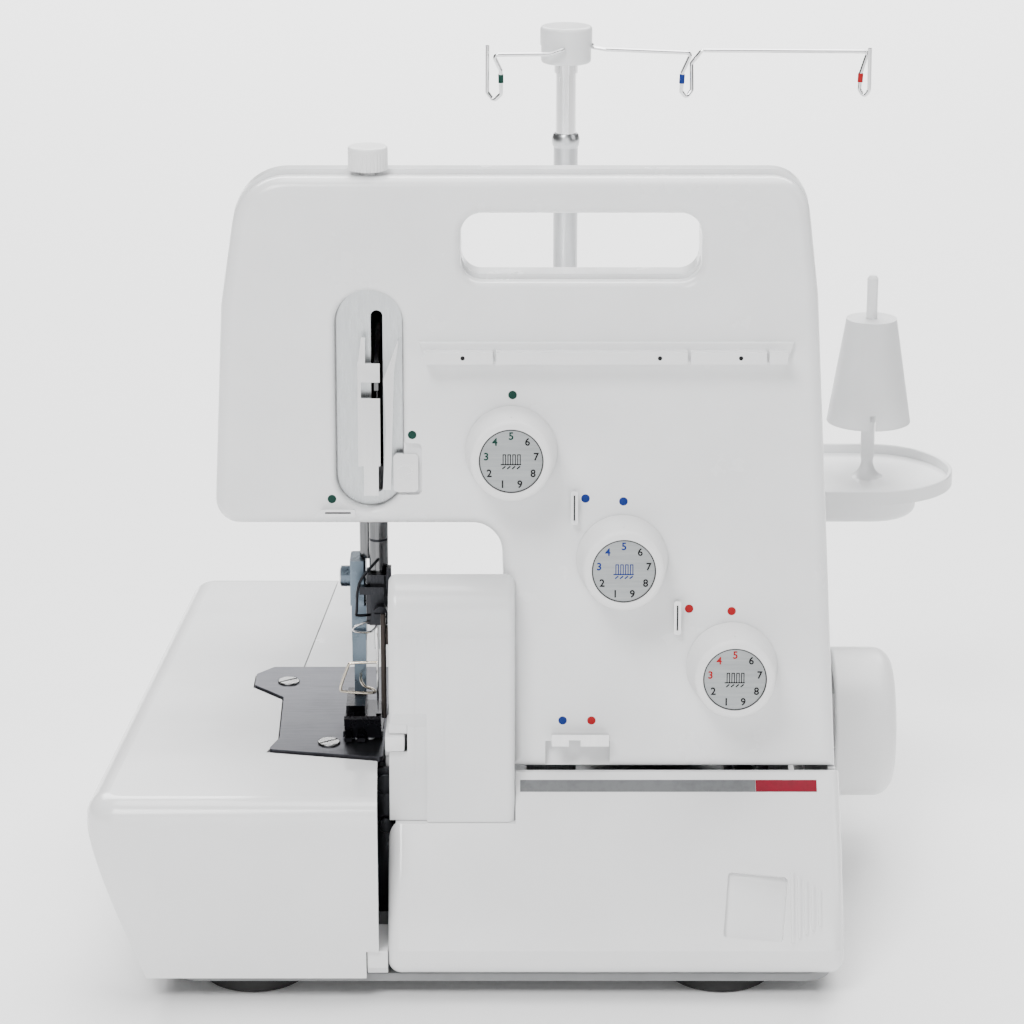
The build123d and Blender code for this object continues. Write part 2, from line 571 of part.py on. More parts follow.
with BuildPart() as motor:
    cylinder_x(14, 66, MOTOR_Y, MOTOR_Z, 24)
    fillet(motor.edges().filter_by(GeomType.CIRCLE), 4)
    cylinder_x(66, 69, MOTOR_Y, MOTOR_Z, 8)
    block(20, 60, MOTOR_Y - 14, MOTOR_Y + 14, PAN_TOP, MOTOR_Z - 15)
save(motor, "motor")

with BuildPart() as drive_belt:
    belt_x = PULLEY_X + 2
    for radius_extra, cut in ((2.0, Mode.ADD), (0.35, Mode.SUBTRACT)):
        with BuildSketch(Plane.YZ.offset(belt_x)) as belt_line:
            with Locations((SHAFT_Y, SHAFT_Z)):
                Circle(DRIVE_R + radius_extra)
            with Locations((MOTOR_Y, MOTOR_Z)):
                Circle(MOTOR_R + radius_extra)
            make_hull()
        extrude(belt_line.sketch, amount=BELT_W, mode=cut)
save(drive_belt, "drive_belt")

with BuildPart() as handwheel:
    with BuildSketch(Plane.XY) as wheel_section:
        with BuildLine():
            Polyline((112.5, 24), (112.5, 30), (137, 30), (137, 0), (132.05, 0), (132.05, SHAFT_R),
                     (112.5, SHAFT_R), (112.5, 11), (126, 11), (126, 24), close=True)
        make_face()
        corners = wheel_section.vertices().filter_by_position(Axis.Y, 29, 31).sort_by(Axis.X)
        fillet(corners[-1], 8)
        fillet(wheel_section.vertices().filter_by_position(Axis.Y, 29, 31).sort_by(Axis.X)[0], 1)
    revolve(wheel_section.sketch, axis=Axis.X)
handwheel.part = handwheel.part.moved(Location((0, SHAFT_Y, SHAFT_Z)))
save(handwheel, "handwheel")

# ---- needle drive -------------------------------------------------------------------------------
TILT = radians(LEVER_TILT)
PIN_Z = LEVER_Z + LEVER_REACH * sin(TILT)
LEVER_X = (-61.6, -58.4)
NEEDLE_BAR_R, PRESSER_BAR_R = 3.6, 3.0

with BuildPart() as lever_shaft:
    cylinder_x(-98, -20, LEVER_Y, LEVER_Z, 4)
    chamfer(lever_shaft.edges().filter_by(GeomType.CIRCLE), 0.4)
save(lever_shaft, "lever_shaft")

LEVER = Plane(origin=(LEVER_X[0], LEVER_Y, LEVER_Z), x_dir=(0, -cos(TILT), sin(TILT)), z_dir=(-1, 0, 0))
with BuildPart() as needle_lever:
    with BuildSketch(LEVER):
        with BuildLine():
            Polyline((-6, -7), (-6, 7), (LEVER_REACH + 7, 4.4), (LEVER_REACH + 7, -4.4), close=True)
        make_face()
        with Locations((LEVER_REACH, 0)):
            SlotOverall(10, 4.8, mode=Mode.SUBTRACT)
    extrude(amount=-(LEVER_X[1] - LEVER_X[0]))
    cylinder_x(LEVER_X[0] - 3, LEVER_X[1] + 3, LEVER_Y, LEVER_Z, 8)
    cylinder_x(LEVER_X[0] - 9, LEVER_X[1] + 9, LEVER_Y, LEVER_Z, 4.05, mode=Mode.SUBTRACT)
save(needle_lever, "needle_lever")

with BuildPart() as take_up_lever:
    side_prism([(4, LEVER_Z - 5), (4, LEVER_Z + 7), (-50, 235), (-64, 236), (-83, 226), (-84.4, 218),
                (-79, 216), (-64, 228.5), (-50, 228.5), (-8, LEVER_Z - 5)], -66.2, -64.7)
    cylinder_x(-68.5, -64.7, LEVER_Y, LEVER_Z, 8)
    cylinder_x(-70, -60, LEVER_Y, LEVER_Z, 4.05, mode=Mode.SUBTRACT)
    cylinder_x(-70, -60, -81.8, 220.6, 1.3, mode=Mode.SUBTRACT)
save(take_up_lever, "take_up_lever")

with BuildPart() as needle_bar:
    cylinder_z(141, 222, NEEDLE_BAR[0], NEEDLE_BAR[1], NEEDLE_BAR_R)
    chamfer(needle_bar.edges().filter_by(GeomType.CIRCLE).group_by(Axis.Z)[-1], 0.6)
    cylinder_x(NEEDLE_BAR[0], -57.8, NEEDLE_BAR[1], PIN_Z, 1.9)
save(needle_bar, "needle_bar")

NEEDLE_AT = (-67.2, -61.5)
with BuildPart() as needle_clamp:
    block(-71.0, -62.6, -66.0, -55.4, 121, 141)
    chamfer(needle_clamp.edges().filter_by(Axis.Z), 1.6)
    cylinder_z(120, 130, NEEDLE_AT[0], NEEDLE_AT[1], 0.95, mode=Mode.SUBTRACT)
    block(-73.4, -64.2, -68.5, -65, 134, 137)
    block(-64.4, -62.6, -65.2, -61, 135, 140)
    block(-63.2, -61.5, -65.2, -61, 135, 143.5)
save(needle_clamp, "needle_clamp")

with BuildPart() as clamp_screw:
    with BuildSketch(Plane.XZ.offset(66)):
        with Locations((-65.4, 127)):
            Circle(2.6)
    extrude(amount=3.4)
    with BuildSketch(Plane.XZ.offset(68.6)):
        with Locations((-65.4, 127)):
            Rectangle(6, 0.8)
    extrude(amount=2, mode=Mode.SUBTRACT)
save(clamp_screw, "clamp_screw")

with BuildPart() as needle:
    cylinder_z(110, 130, NEEDLE_AT[0], NEEDLE_AT[1], 0.95)
    cylinder_z(92, 110, NEEDLE_AT[0], NEEDLE_AT[1], 0.5)
    with BuildSketch(Plane.XY.offset(92)):
        with Locations(NEEDLE_AT):
            Circle(0.5)
    extrude(amount=-7, taper=3.6)
save(needle, "needle")

# ---- presser ------------------------------------------------------------------------------------
SPRING_Z0, SPRING_Z1 = 195.0, 219.0
with BuildPart() as presser_bar:
    cylinder_z(143.9, 229, PRESSER_BAR[0], PRESSER_BAR[1], PRESSER_BAR_R)
    cylinder_z(SPRING_Z0 - 3, SPRING_Z0, PRESSER_BAR[0], PRESSER_BAR[1], 5.2)
save(presser_bar, "presser_bar")

with BuildPart() as presser_spring:
    with BuildLine(Plane((PRESSER_BAR[0], PRESSER_BAR[1], SPRING_Z0 + 0.9))):
        Helix(pitch=3.2, height=SPRING_Z1 - SPRING_Z0 - 1.8, radius=3.9)
    with BuildSketch(Plane(origin=(PRESSER_BAR[0] + 3.9, PRESSER_BAR[1], SPRING_Z0 + 0.9),
                           x_dir=(1, 0, 0), z_dir=(0, 1, 0))):
        Circle(0.6)
    sweep()
save(presser_spring, "presser_spring")

FOOT_Z = 79.7
with BuildPart() as presser_foot:
    block(-77.4, -71.4, -58.6, -46, 126, 144)
    chamfer(presser_foot.edges().filter_by(Axis.Z), 0.8)
    block(-77.0, -71.4, -57.5, -50, 112, 126)
    block(-76.8, -71.6, -60, -50, 103, 116)
    block(-76.2, -71.8, -58, -52, 84, 104)
    block(-79, -71.8, -70, -50, 84.5, 90)
    block(-80, -65, -76, -42, FOOT_Z, FOOT_Z + 2.2)
    side_prism([(-75, FOOT_Z), (-73, FOOT_Z + 2.2), (-81, 90), (-82.4, 89.2), (-78, FOOT_Z + 0.4)],
               -79.2, -65.4)
    block(-74.4, -71.4, -81.5, -76, FOOT_Z, FOOT_Z + 1.6)
    block(-79.2, -76.4, -81.5, -76, FOOT_Z, FOOT_Z + 1.6)
    block(-78, -71.8, -76, -44, FOOT_Z, 85)
    block(-68.2, -66.2, -66, -57, FOOT_Z - 1, FOOT_Z + 4, mode=Mode.SUBTRACT)
    cylinder_x(-81, -77.4, -52, 136, 4)
save(presser_foot, "presser_foot")

with BuildPart() as presser_lifter:
    with BuildSketch(Plane.XZ.offset(55)):
        with Locations(LIFTER_AT):
            Circle(3)
    extrude(amount=-128)
    block(LIFTER_AT[0], -74.5, -55, -44, 189.6, 191.2)
    with BuildSketch(Plane.XZ.offset(-BACK_WALL - 1)):
        with Locations(LIFTER_AT):
            Circle(6)
        with Locations((LIFTER_AT[0] + 22, LIFTER_AT[1] - 2)):
            RectangleRounded(44, 9, 4.4, rotation=-5)
    extrude(amount=-5)
save(presser_lifter, "presser_lifter")

with BuildPart() as pressure_knob:
    cylinder_z(TOP_Z + GAP, 305.4, RECESS_X, KNOB_Y, 7.2)
    fillet(pressure_knob.edges().filter_by(GeomType.CIRCLE).group_by(Axis.Z)[-1], 1)
    with BuildSketch(Plane.XY.offset(TOP_Z + GAP - 1)):
        with Locations((RECESS_X, KNOB_Y)):
            with PolarLocations(7.4, 32):
                Circle(0.42)
    extrude(amount=7.6, mode=Mode.SUBTRACT)
    cylinder_z(262, TOP_Z + GAP, RECESS_X, KNOB_Y, 2.6)
save(pressure_knob, "pressure_knob")

# ---- loopers, knives, feed ----------------------------------------------------------------------
LOOPER_PIVOTS = ((-34.0, 32.0), (-24.0, 58.0))      # x, z of the lower and the upper looper shaft

with BuildPart() as looper_shafts:
    for x, z in LOOPER_PIVOTS:
        with BuildSketch(Plane.XZ.offset(86)):
            with Locations((x, z)):
                Circle(3)
        extrude(amount=-60)
        block(x - 5, x + 5, -34, -28, 16, z + 6)
save(looper_shafts, "looper_shafts")


def looper(points, pivot, y_front, thickness, hub=6.0):
    """A flat looper drawn from the front, with a hub on its shaft, in the open part."""
    with BuildSketch(Plane.XZ.offset(-y_front)) as section:
        with BuildLine():
            Polyline(*points, close=True)
        make_face()
        with Locations(pivot):
            Circle(hub)
    extrude(section.sketch, amount=-thickness)
    with BuildSketch(Plane.XZ.offset(-y_front + 1)) as bore:
        with Locations(pivot):
            Circle(3.05)
    extrude(bore.sketch, amount=-thickness - 2, mode=Mode.SUBTRACT)


with BuildPart() as lower_looper:
    looper([(-38, 34), (-47, 53), (-50, 57), (-71.6, 61.6), (-73.4, 64), (-50, 61), (-43.5, 57), (-30, 35)],
           LOOPER_PIVOTS[0], -78.8, 2.4)
save(lower_looper, "lower_looper")

with BuildPart() as upper_looper:
    looper([(-26, 53.5), (-40, 62), (-48, 68), (-56.4, 73), (-57.4, 71), (-50, 64.4), (-42, 57),
            (-29, 54.0)],
           LOOPER_PIVOTS[1], -82, 2.4)
save(upper_looper, "upper_looper")

with BuildPart() as fixed_knife:
    block(-63.9, -62.7, -75.8, -64, 50, 78.4)
    block(-66, -62.7, -76, -70, 16, 52)
save(fixed_knife, "fixed_knife")

with BuildPart() as moving_knife:
    side_prism([(-80, 80.6), (-66, 81.6), (-66, 118), (-76, 118), (-80, 100)], -62.3, -61.0)
    block(-61.0, -58.4, -74, -40, 108, 118)
    block(-61.0, -58.4, -48, -40, 90, 108)
save(moving_knife, "moving_knife")

with BuildPart() as feed_dog:
    block(-77, -68.4, -74, -46, 68, 73)
    for x in FEED_SLOTS:
        block(x - 1.1, x + 1.1, -72, -48, 73, PLATE_TOP - 0.3)
        with BuildSketch(Plane.YZ.offset(x - 1.1)) as teeth:
            with GridLocations(2, 0, 11, 1):
                with Locations((-60, PLATE_TOP - 0.2)):
                    RegularPolygon(0.75, 3, rotation=90)
        extrude(teeth.sketch, amount=2.2)
save(feed_dog, "feed_dog")

with BuildPart() as stitch_finger_lever:
    block(-63.5, -56.6, -88.6, -83.6, 76.6, 81.6)
    fillet(stitch_finger_lever.edges().filter_by(Axis.X), 0.8)
    fillet(stitch_finger_lever.faces().sort_by(Axis.X)[-1].edges(), 0.8)
    block(-63.4, -60.8, -88, -84.2, 66, 76.7)
save(stitch_finger_lever, "stitch_finger_lever")

# ---- thread path on the front -------------------------------------------------------------------
INSERT_DEPTH = -RECESS_DEPTH + 0.1

with BuildPart() as take_up_insert:
    with BuildSketch(panel_at(INSERT_DEPTH)):
        with Locations((RECESS_X, (RECESS_S0 + RECESS_S1) / 2)):
            RectangleRounded(RECESS_W - 1, RECESS_S1 - RECESS_S0 - 1, RECESS_W / 2 - 1)
        with Locations((SLOT_X, (SLOT_S0 + SLOT_S1) / 2)):
            SlotOverall(SLOT_S1 - SLOT_S0, SLOT_W, rotation=90, mode=Mode.SUBTRACT)
    extrude(amount=1.2)
save(take_up_insert, "take_up_insert")


def panel_plate(points, depth, thickness):
    """A flat plate parallel to the panel, drawn as across/up-the-panel points, in the open part."""
    with BuildSketch(panel_at(depth)) as section:
        with BuildLine():
            Polyline(*points, close=True)
        make_face()
    extrude(section.sketch, amount=thickness)


with BuildPart() as take_up_bracket:
    panel_plate([(-72.1, 115), (-72.1, 154), (-70.9, 154), (-70.9, 115)], INSERT_DEPTH + 1.3, 7.6)
    panel_plate([(-72.1, 140.3), (-72.1, 115.2), (-64.0, 115.2), (-64.0, 140.3)], 0, 1.2)
    panel_plate([(-72.1, 153.2), (-72.1, 146.2), (-64.0, 146.2), (-64.0, 153.2)], 0, 1.2)
    panel_plate([(-70.1, 115.3), (-70.1, 104.2), (-64.7, 104.2), (-64.7, 115.3)], 0, 1.2)
    panel_plate([(-71.9, 153), (-70.7, 162.7), (-69.2, 162.7), (-69.3, 153)], 0, 1.0)
    panel_plate([(-63.2, 106.1), (-61.9, 128.4), (-62.8, 146.9), (-57.3, 161.6), (-57.3, 159.8),
                 (-58.8, 149.9), (-60.3, 106.1)], INSERT_DEPTH + 1.3, 6.6)
save(take_up_bracket, "take_up_bracket")

with BuildPart() as thread_clamp:
    with BuildSketch(panel_at(-2.1)):
        with Locations((-54.8, 112.4)):
            RectangleRounded(9.0, 14.2, 1.5)
    extrude(amount=2)
    with BuildSketch(panel_at(-0.1)):
        with Locations(CLAMP_SCREW_AT):
            Circle(3.1)
    extrude(amount=1.8)
    with BuildSketch(panel_at(0.9)):
        with Locations(Location((*CLAMP_SCREW_AT, 0), (0, 0, 20))):
            Rectangle(7, 0.8)
    extrude(amount=1.2, mode=Mode.SUBTRACT)
save(thread_clamp, "thread_clamp")

LEDGE_PIECES = ((-47.9, -22.9), (-21.7, 47.3), (48.5, 75.8), (76.8, 83.4))
with BuildPart() as thread_ledge:
    with BuildSketch(panel_at(0)):
        with BuildLine():
            Polyline((-47.0, 153.2), (-49.8, 161.2), (86.2, 161.2), (83.8, 153.2), close=True)
        make_face()
    extrude(amount=2.2)
    fillet(thread_ledge.faces().sort_by(Axis((0, 0, 0), PANEL.z_dir))[-1].edges(), 0.7)
    for x0, x1 in LEDGE_PIECES:
        with BuildSketch(panel_at(2.0)) as cap:
            with Locations(((x0 + x1) / 2, 156.2)):
                Rectangle(x1 - x0, 4.4)
        extrude(cap.sketch, amount=6.2)
save(thread_ledge, "thread_ledge")

with BuildPart() as wire_guides:
    for cx, cy, turn in ((-79.6, 98.2, 0), (6.8, 100.0, 90), (44.9, 58.6, 90)):
        spot = Location((cx, cy, 0), (0, 0, turn))
        with BuildSketch(panel_at(2.6)) as bar:
            with Locations(spot):
                RectangleRounded(12.6, 2.6, 0.8)
                Rectangle(9.6, 0.7, mode=Mode.SUBTRACT)
        extrude(bar.sketch, amount=1.0)
        with BuildSketch(panel_at(0)) as posts:
            with Locations(spot):
                with GridLocations(11.2, 0, 2, 1):
                    Circle(0.7)
        extrude(posts.sketch, amount=2.7)
save(wire_guides, "wire_guides")

with BuildPart() as lower_thread_guide:
    with BuildSketch(panel_at(0)):
        with Locations((9.3, 13.2)):
            Rectangle(21.2, 1.2)
    extrude(amount=6)
    with BuildSketch(panel_at(4.8)):
        with Locations((9.3, 12.4)):
            Rectangle(21.2, 4.4)
        with Locations((7.2, 11.4)):
            Rectangle(4.4, 2.4, mode=Mode.SUBTRACT)
    extrude(amount=1.2)
save(lower_thread_guide, "lower_thread_guide")

# ---- tension dials ------------------------------------------------------------------------------
DIAL_NAMES = ("left", "middle", "right")
for index, name in enumerate(DIAL_NAMES):
    with BuildPart() as tension_dial:
        with BuildSketch(panel_at(0.5)):
            with Locations(dial_centre(index)):
                Circle(DIAL_BASE_R)
        extrude(amount=DIAL_H, taper=6.4)
        top_rim = tension_dial.edges().filter_by(GeomType.CIRCLE).sort_by(Axis((0, 0, 0), PANEL.z_dir))
        fillet(top_rim[-1], 1.6)
        with BuildSketch(panel_at(0.5 + DIAL_H - 0.8)):
            with Locations(dial_centre(index)):
                Circle(11.7)
        extrude(amount=1, mode=Mode.SUBTRACT)
        with BuildSketch(panel_at(0.5)):
            with Locations(dial_centre(index)):
                Circle(DIAL_BASE_R - 2.4)
                Circle(5.5, mode=Mode.SUBTRACT)
        extrude(amount=DIAL_H - 4, taper=6.4, mode=Mode.SUBTRACT)
        with BuildSketch(panel_at(0.4)):
            with Locations(dial_centre(index)):
                Circle(2.55)
        extrude(amount=12, mode=Mode.SUBTRACT)
    save(tension_dial, f"tension_dial_{name}")

with BuildPart() as tension_posts:
    for index in range(DIAL_COUNT):
        with BuildSketch(panel_at(-30)) as post:
            with Locations(dial_centre(index)):
                Circle(2.5)
        extrude(post.sketch, amount=41)
        for depth, radius, thickness in ((-14, 9, 1.2), (-16, 9, 1.2), (-22, 6, 5.6), (-30, 10, 3)):
            with BuildSketch(panel_at(depth)) as disc:
                with Locations(dial_centre(index)):
                    Circle(radius)
            extrude(disc.sketch, amount=thickness)
save(tension_posts, "tension_posts")

# ---- thread stand -------------------------------------------------------------------------------
with BuildPart() as stand_tube:
    cylinder_z(96, BEAD_Z + 1, TUBE_X, TUBE_Y, 5.0)
    with BuildSketch(Plane.XZ.offset(-TUBE_Y)):
        with BuildLine():
            arc = ThreePointArc((TUBE_X + 4.9, BEAD_Z - 2), (TUBE_X + 5.7, BEAD_Z + 1), (TUBE_X + 4.9, BEAD_Z + 4))
            Polyline(arc @ 1, (TUBE_X + 4.3, BEAD_Z + 4), (TUBE_X + 4.3, BEAD_Z - 2), arc @ 0)
        make_face()
    revolve(axis=Axis((TUBE_X, TUBE_Y, 0), (0, 0, 1)))
    cylinder_z(95, BEAD_Z + 5, TUBE_X, TUBE_Y, 4.25, mode=Mode.SUBTRACT)
save(stand_tube, "stand_tube")

with BuildPart() as stand_inner_tube:
    cylinder_z(126, HEAD_Z - 0.2, TUBE_X, TUBE_Y, 4.15)
    cylinder_z(HEAD_Z - 4, HEAD_Z - 0.2, TUBE_X, TUBE_Y, 4.9)
    cylinder_z(HEAD_Z - 0.2, HEAD_Z + 9, TUBE_X, TUBE_Y, 3)
    cylinder_z(125, HEAD_Z - 8, TUBE_X, TUBE_Y, 2.9, mode=Mode.SUBTRACT)
save(stand_inner_tube, "stand_inner_tube")

CAP_SEAM = 315.4
CAP_TOP = 323.0
with BuildPart() as guide_cap:
    cylinder_z(HEAD_Z, CAP_SEAM, TUBE_X, TUBE_Y, 10.2)
    fillet(guide_cap.edges().group_by(Axis.Z)[0], 1.2)
    cylinder_z(CAP_SEAM, CAP_TOP, TUBE_X, TUBE_Y, 10.6)
    fillet(guide_cap.edges().group_by(Axis.Z)[-1], 1.6)
    cylinder_z(HEAD_Z - 1, HEAD_Z + 9.3, TUBE_X, TUBE_Y, 3.05, mode=Mode.SUBTRACT)
    for x, y in ((4.7, 80), (16.5, 86)):
        with BuildSketch(Plane.XZ.offset(-y + 12)):
            with Locations((x, CAP_SEAM - 0.2)):
                Circle(WIRE_R)
        extrude(amount=-16, mode=Mode.SUBTRACT)
save(guide_cap, "guide_cap")

left_wire = [(4.7, 84, 315.2), (4.7, 79, 315.2), (-0.5, 78.2, 313.4), (-23.6, 78.2, 313.2),
             (-20.6, 78.4, 307), (-20.4, 79, 297.2), (-23.4, 80.2, 294.2), (-26.0, 81.4, 297.4),
             (-25.9, 82, 316.4)]
right_wire = [(16.5, 90, 315.2), (16.5, 85, 315.2), (22, 84, 314.4), (56.6, 84, 313.0),
              (53.0, 84.2, 305), (52.6, 84.8, 297.2), (54.8, 86, 294.4), (57.0, 87, 297.2),
              (56.8, 88.2, 308), (61, 88.6, 313.2), (128.4, 88.6, 312.8), (125.6, 88.4, 304),
              (125.2, 88.0, 297.4), (127.2, 87, 294.4), (129.0, 86.2, 297.4), (128.8, 86, 314.6)]


def bent_wire(points, bend):
    """A round wire through points with rounded bends, in the open part."""
    with BuildLine() as route:
        FilletPolyline(*points, radius=bend)
    start = Plane(origin=route.line @ 0, z_dir=route.line % 0)
    with BuildSketch(start) as section:
        Circle(WIRE_R)
    sweep(section.sketch, path=route.line)


with BuildPart() as guide_wires:
    bent_wire(left_wire, 1.3)
    bent_wire(right_wire, 1.3)
save(guide_wires, "guide_wires")

TRAY_X = (PIN_X[0] + PIN_X[2]) / 2
TRAY_LEN = PIN_X[2] - PIN_X[0] + 2 * TRAY_R
with BuildPart() as spool_tray:
    with BuildSketch(Plane.XY.offset(127)):
        with Locations((TRAY_X, TRAY_Y)):
            SlotOverall(TRAY_LEN, 2 * TRAY_R)
    extrude(amount=RIM_Z - 127)
    with BuildSketch(Plane.XY.offset(TRAY_FLOOR)):
        with Locations((TRAY_X, TRAY_Y)):
            SlotOverall(TRAY_LEN - 4, 2 * TRAY_R - 4)
    extrude(amount=10, mode=Mode.SUBTRACT)
    fillet(spool_tray.edges().filter_by(lambda e: e.center().Z > RIM_Z - 0.01), 0.8)
    with BuildSketch(Plane.XY.offset(DECK_Z)):
        with Locations((TRAY_X, TRAY_Y)):
            SlotOverall(TRAY_LEN - 2 * (TRAY_R - BOSS_R), 2 * BOSS_R)
    extrude(amount=127 - DECK_Z)
    fillet(spool_tray.faces().sort_by(Axis.Z)[0].edges(), 3)
    with BuildSketch(Plane.XY.offset(DECK_Z - 1)):
        with Locations((TRAY_X, TRAY_Y)):
            SlotOverall(TRAY_LEN - 2 * (TRAY_R - BOSS_R) - 6, 2 * BOSS_R - 6)
    extrude(amount=127 - DECK_Z - 1.5, mode=Mode.SUBTRACT)
    cylinder_z(DECK_Z, 128, TUBE_X, TUBE_Y, 9)
    cylinder_z(DECK_Z - 1, 140, TUBE_X, TUBE_Y, 5.15, mode=Mode.SUBTRACT)
save(spool_tray, "spool_tray")

SHOULDER_Z = 153.4
with BuildPart() as spool_pins:
    for x in PIN_X:
        with BuildSketch(Plane.XZ.offset(-TRAY_Y)) as pin_section:
            with BuildLine():
                flare = ThreePointArc((x + 7, TRAY_FLOOR), (x + 3.8, 131.6), (x + 2.9, 138))
                Polyline(flare @ 1, (x + 2.9, SHOULDER_Z), (x + 2.3, SHOULDER_Z), (x + 2.3, 215.2),
                         (x + 1.3, 216.4), (x, 216.4), (x, TRAY_FLOOR), flare @ 0)
            make_face()
        revolve(pin_section.sketch, axis=Axis((x, TRAY_Y, 0), (0, 0, 1)))
save(spool_pins, "spool_pins")

CONE_TOP = 198.0
for x, name in zip(PIN_X, DIAL_NAMES):
    with BuildPart() as spool_cone:
        with BuildSketch(Plane.XZ.offset(-TRAY_Y)):
            with BuildLine():
                Polyline((x + 2.5, SHOULDER_Z + 0.1), (x + 4.2, SHOULDER_Z + 0.1), (x + 4.2, CONE_TOP - 2),
                         (x + 9.2, CONE_TOP - 2), (x + 16.2, SHOULDER_Z + 0.1), (x + 17.7, SHOULDER_Z + 0.1),
                         (x + 10.6, CONE_TOP), (x + 2.5, CONE_TOP), close=True)
            make_face()
        revolve(axis=Axis((x, TRAY_Y, 0), (0, 0, 1)))
        with BuildSketch(Plane.XZ.offset(-TRAY_Y + 30)):
            with Locations((x, SHOULDER_Z)):
                Rectangle(2.6, 13)
        extrude(amount=-25, mode=Mode.SUBTRACT)
    save(spool_cone, f"spool_cone_{name}")

# ---- electrics and stitch controls --------------------------------------------------------------
with BuildPart() as power_inlet:
    with BuildSketch(SIDE.offset(-16)):
        with Locations(INLET_AT):
            RectangleRounded(26, 18, 1.6)
    extrude(amount=16)
    with BuildSketch(SIDE.offset(0.02)):
        with Locations(INLET_AT):
            RectangleRounded(31, 23, 3)
    extrude(amount=1.2)
    with BuildSketch(SIDE.offset(-12)):
        with Locations(INLET_AT):
            RectangleRounded(20, 12, 3)
    extrude(amount=16, mode=Mode.SUBTRACT)
    with BuildSketch(SIDE.offset(-12)):
        with Locations(INLET_AT):
            with GridLocations(6, 0, 3, 1):
                Circle(1.1)
    extrude(amount=5)
save(power_inlet, "power_inlet")

ROCKER_PIVOT = Plane(SIDE.from_local_coords((SWITCH_AT[0], SWITCH_AT[1], -3)), x_dir=SIDE.y_dir,
                     z_dir=SIDE.x_dir)
with BuildPart() as power_switch:
    with BuildSketch(ROCKER_PIVOT.rotated((0, 9, 0))):
        with BuildLine():
            Polyline((-6.8, 2), (-6.8, 5.6), (0, 4.2), (6.8, 5.6), (6.8, 2), (0, -2), close=True)
        make_face()
    extrude(amount=10.8, both=True)
    with BuildSketch(ROCKER_PIVOT):
        Circle(1.2)
    extrude(amount=11.1, both=True)
save(power_switch, "power_switch")

with BuildPart() as stitch_length_dial:
    with BuildSketch(SIDE.offset(0.5)):
        with Locations(LENGTH_DIAL_AT):
            Circle(11)
    extrude(amount=5)
    fillet(stitch_length_dial.edges().sort_by(Axis.X)[-1], 1)
    with BuildSketch(SIDE.offset(5)):
        with Locations(LENGTH_DIAL_AT):
            Rectangle(20, 3)
    extrude(amount=2)
    with BuildSketch(SIDE.offset(-8)):
        with Locations(LENGTH_DIAL_AT):
            Circle(3)
    extrude(amount=9)
save(stitch_length_dial, "stitch_length_dial")
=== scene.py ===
import bpy
import bmesh
from math import cos, pi, radians, sin
from mathutils import Matrix, Vector


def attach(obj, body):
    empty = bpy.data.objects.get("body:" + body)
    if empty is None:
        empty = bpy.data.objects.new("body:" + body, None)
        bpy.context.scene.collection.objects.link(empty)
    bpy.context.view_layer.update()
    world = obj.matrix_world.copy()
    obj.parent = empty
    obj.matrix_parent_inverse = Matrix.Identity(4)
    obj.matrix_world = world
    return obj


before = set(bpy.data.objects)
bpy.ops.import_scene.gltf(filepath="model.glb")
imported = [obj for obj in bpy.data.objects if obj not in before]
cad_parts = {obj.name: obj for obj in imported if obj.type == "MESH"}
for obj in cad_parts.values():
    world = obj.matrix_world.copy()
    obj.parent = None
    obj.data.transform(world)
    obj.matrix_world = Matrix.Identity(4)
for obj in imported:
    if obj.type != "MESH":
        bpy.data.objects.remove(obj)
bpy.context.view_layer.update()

MM = 0.001
LEAN = radians(5)               # the front panel leans back
PANEL_FOOT_Y = -98.5            # the panel's lower edge
PANEL_FOOT_Z = 76
# across the panel, up the panel, out of the panel
PANEL = Matrix(((1, 0, 0, 0),
                (0, sin(LEAN), -cos(LEAN), PANEL_FOOT_Y * MM),
                (0, cos(LEAN), sin(LEAN), PANEL_FOOT_Z * MM),
                (0, 0, 0, 1)))
DIALS = ("left", "middle", "right")


# ---- camera -------------------------------------------------------------------------------------
CAMERA_AT = (-0.016, -1.243, 0.537)
CAMERA_TILT = radians(72.5)     # 90 would look level
SENSOR_WIDTH = 36
FOCAL_LENGTH = 116.02
FAR_LIMIT = 50


def set_up_camera():
    """Looks down at the machine from in front."""
    data = bpy.data.cameras.new("studio_camera")
    data.sensor_width = SENSOR_WIDTH
    data.lens = FOCAL_LENGTH
    data.clip_end = FAR_LIMIT
    camera = bpy.data.objects.new("studio_camera", data)
    camera.location = CAMERA_AT
    camera.rotation_euler = (CAMERA_TILT, 0, 0)
    bpy.context.scene.collection.objects.link(camera)
    bpy.context.scene.camera = camera


# ---- shared effects -----------------------------------------------------------------------------
def effect(name, inputs, outputs):
    """An empty node group with value inputs and the named outputs."""
    group = bpy.data.node_groups.new(name, "ShaderNodeTree")
    for label, value in inputs:
        socket = group.interface.new_socket(label, in_out="INPUT", socket_type="NodeSocketFloat")
        socket.default_value = value
    for label, kind in outputs:
        group.interface.new_socket(label, in_out="OUTPUT", socket_type=kind)
    return group, group.nodes.new("NodeGroupInput"), group.nodes.new("NodeGroupOutput")


def object_coordinates(tree, stretch=(1, 1, 1)):
    place = tree.nodes.new("ShaderNodeTexCoord")
    mapping = tree.nodes.new("ShaderNodeMapping")
    mapping.inputs["Scale"].default_value = stretch
    tree.links.new(place.outputs["Object"], mapping.inputs["Vector"])
    return mapping.outputs["Vector"]


def noise(tree, vector, scale, detail=3.0, roughness=0.55):
    node = tree.nodes.new("ShaderNodeTexNoise")
    node.inputs["Detail"].default_value = detail
    node.inputs["Roughness"].default_value = roughness
    tree.links.new(vector, node.inputs["Vector"])
    if isinstance(scale, (int, float)):
        node.inputs["Scale"].default_value = scale
    else:
        tree.links.new(scale, node.inputs["Scale"])
    return node.outputs["Fac"]


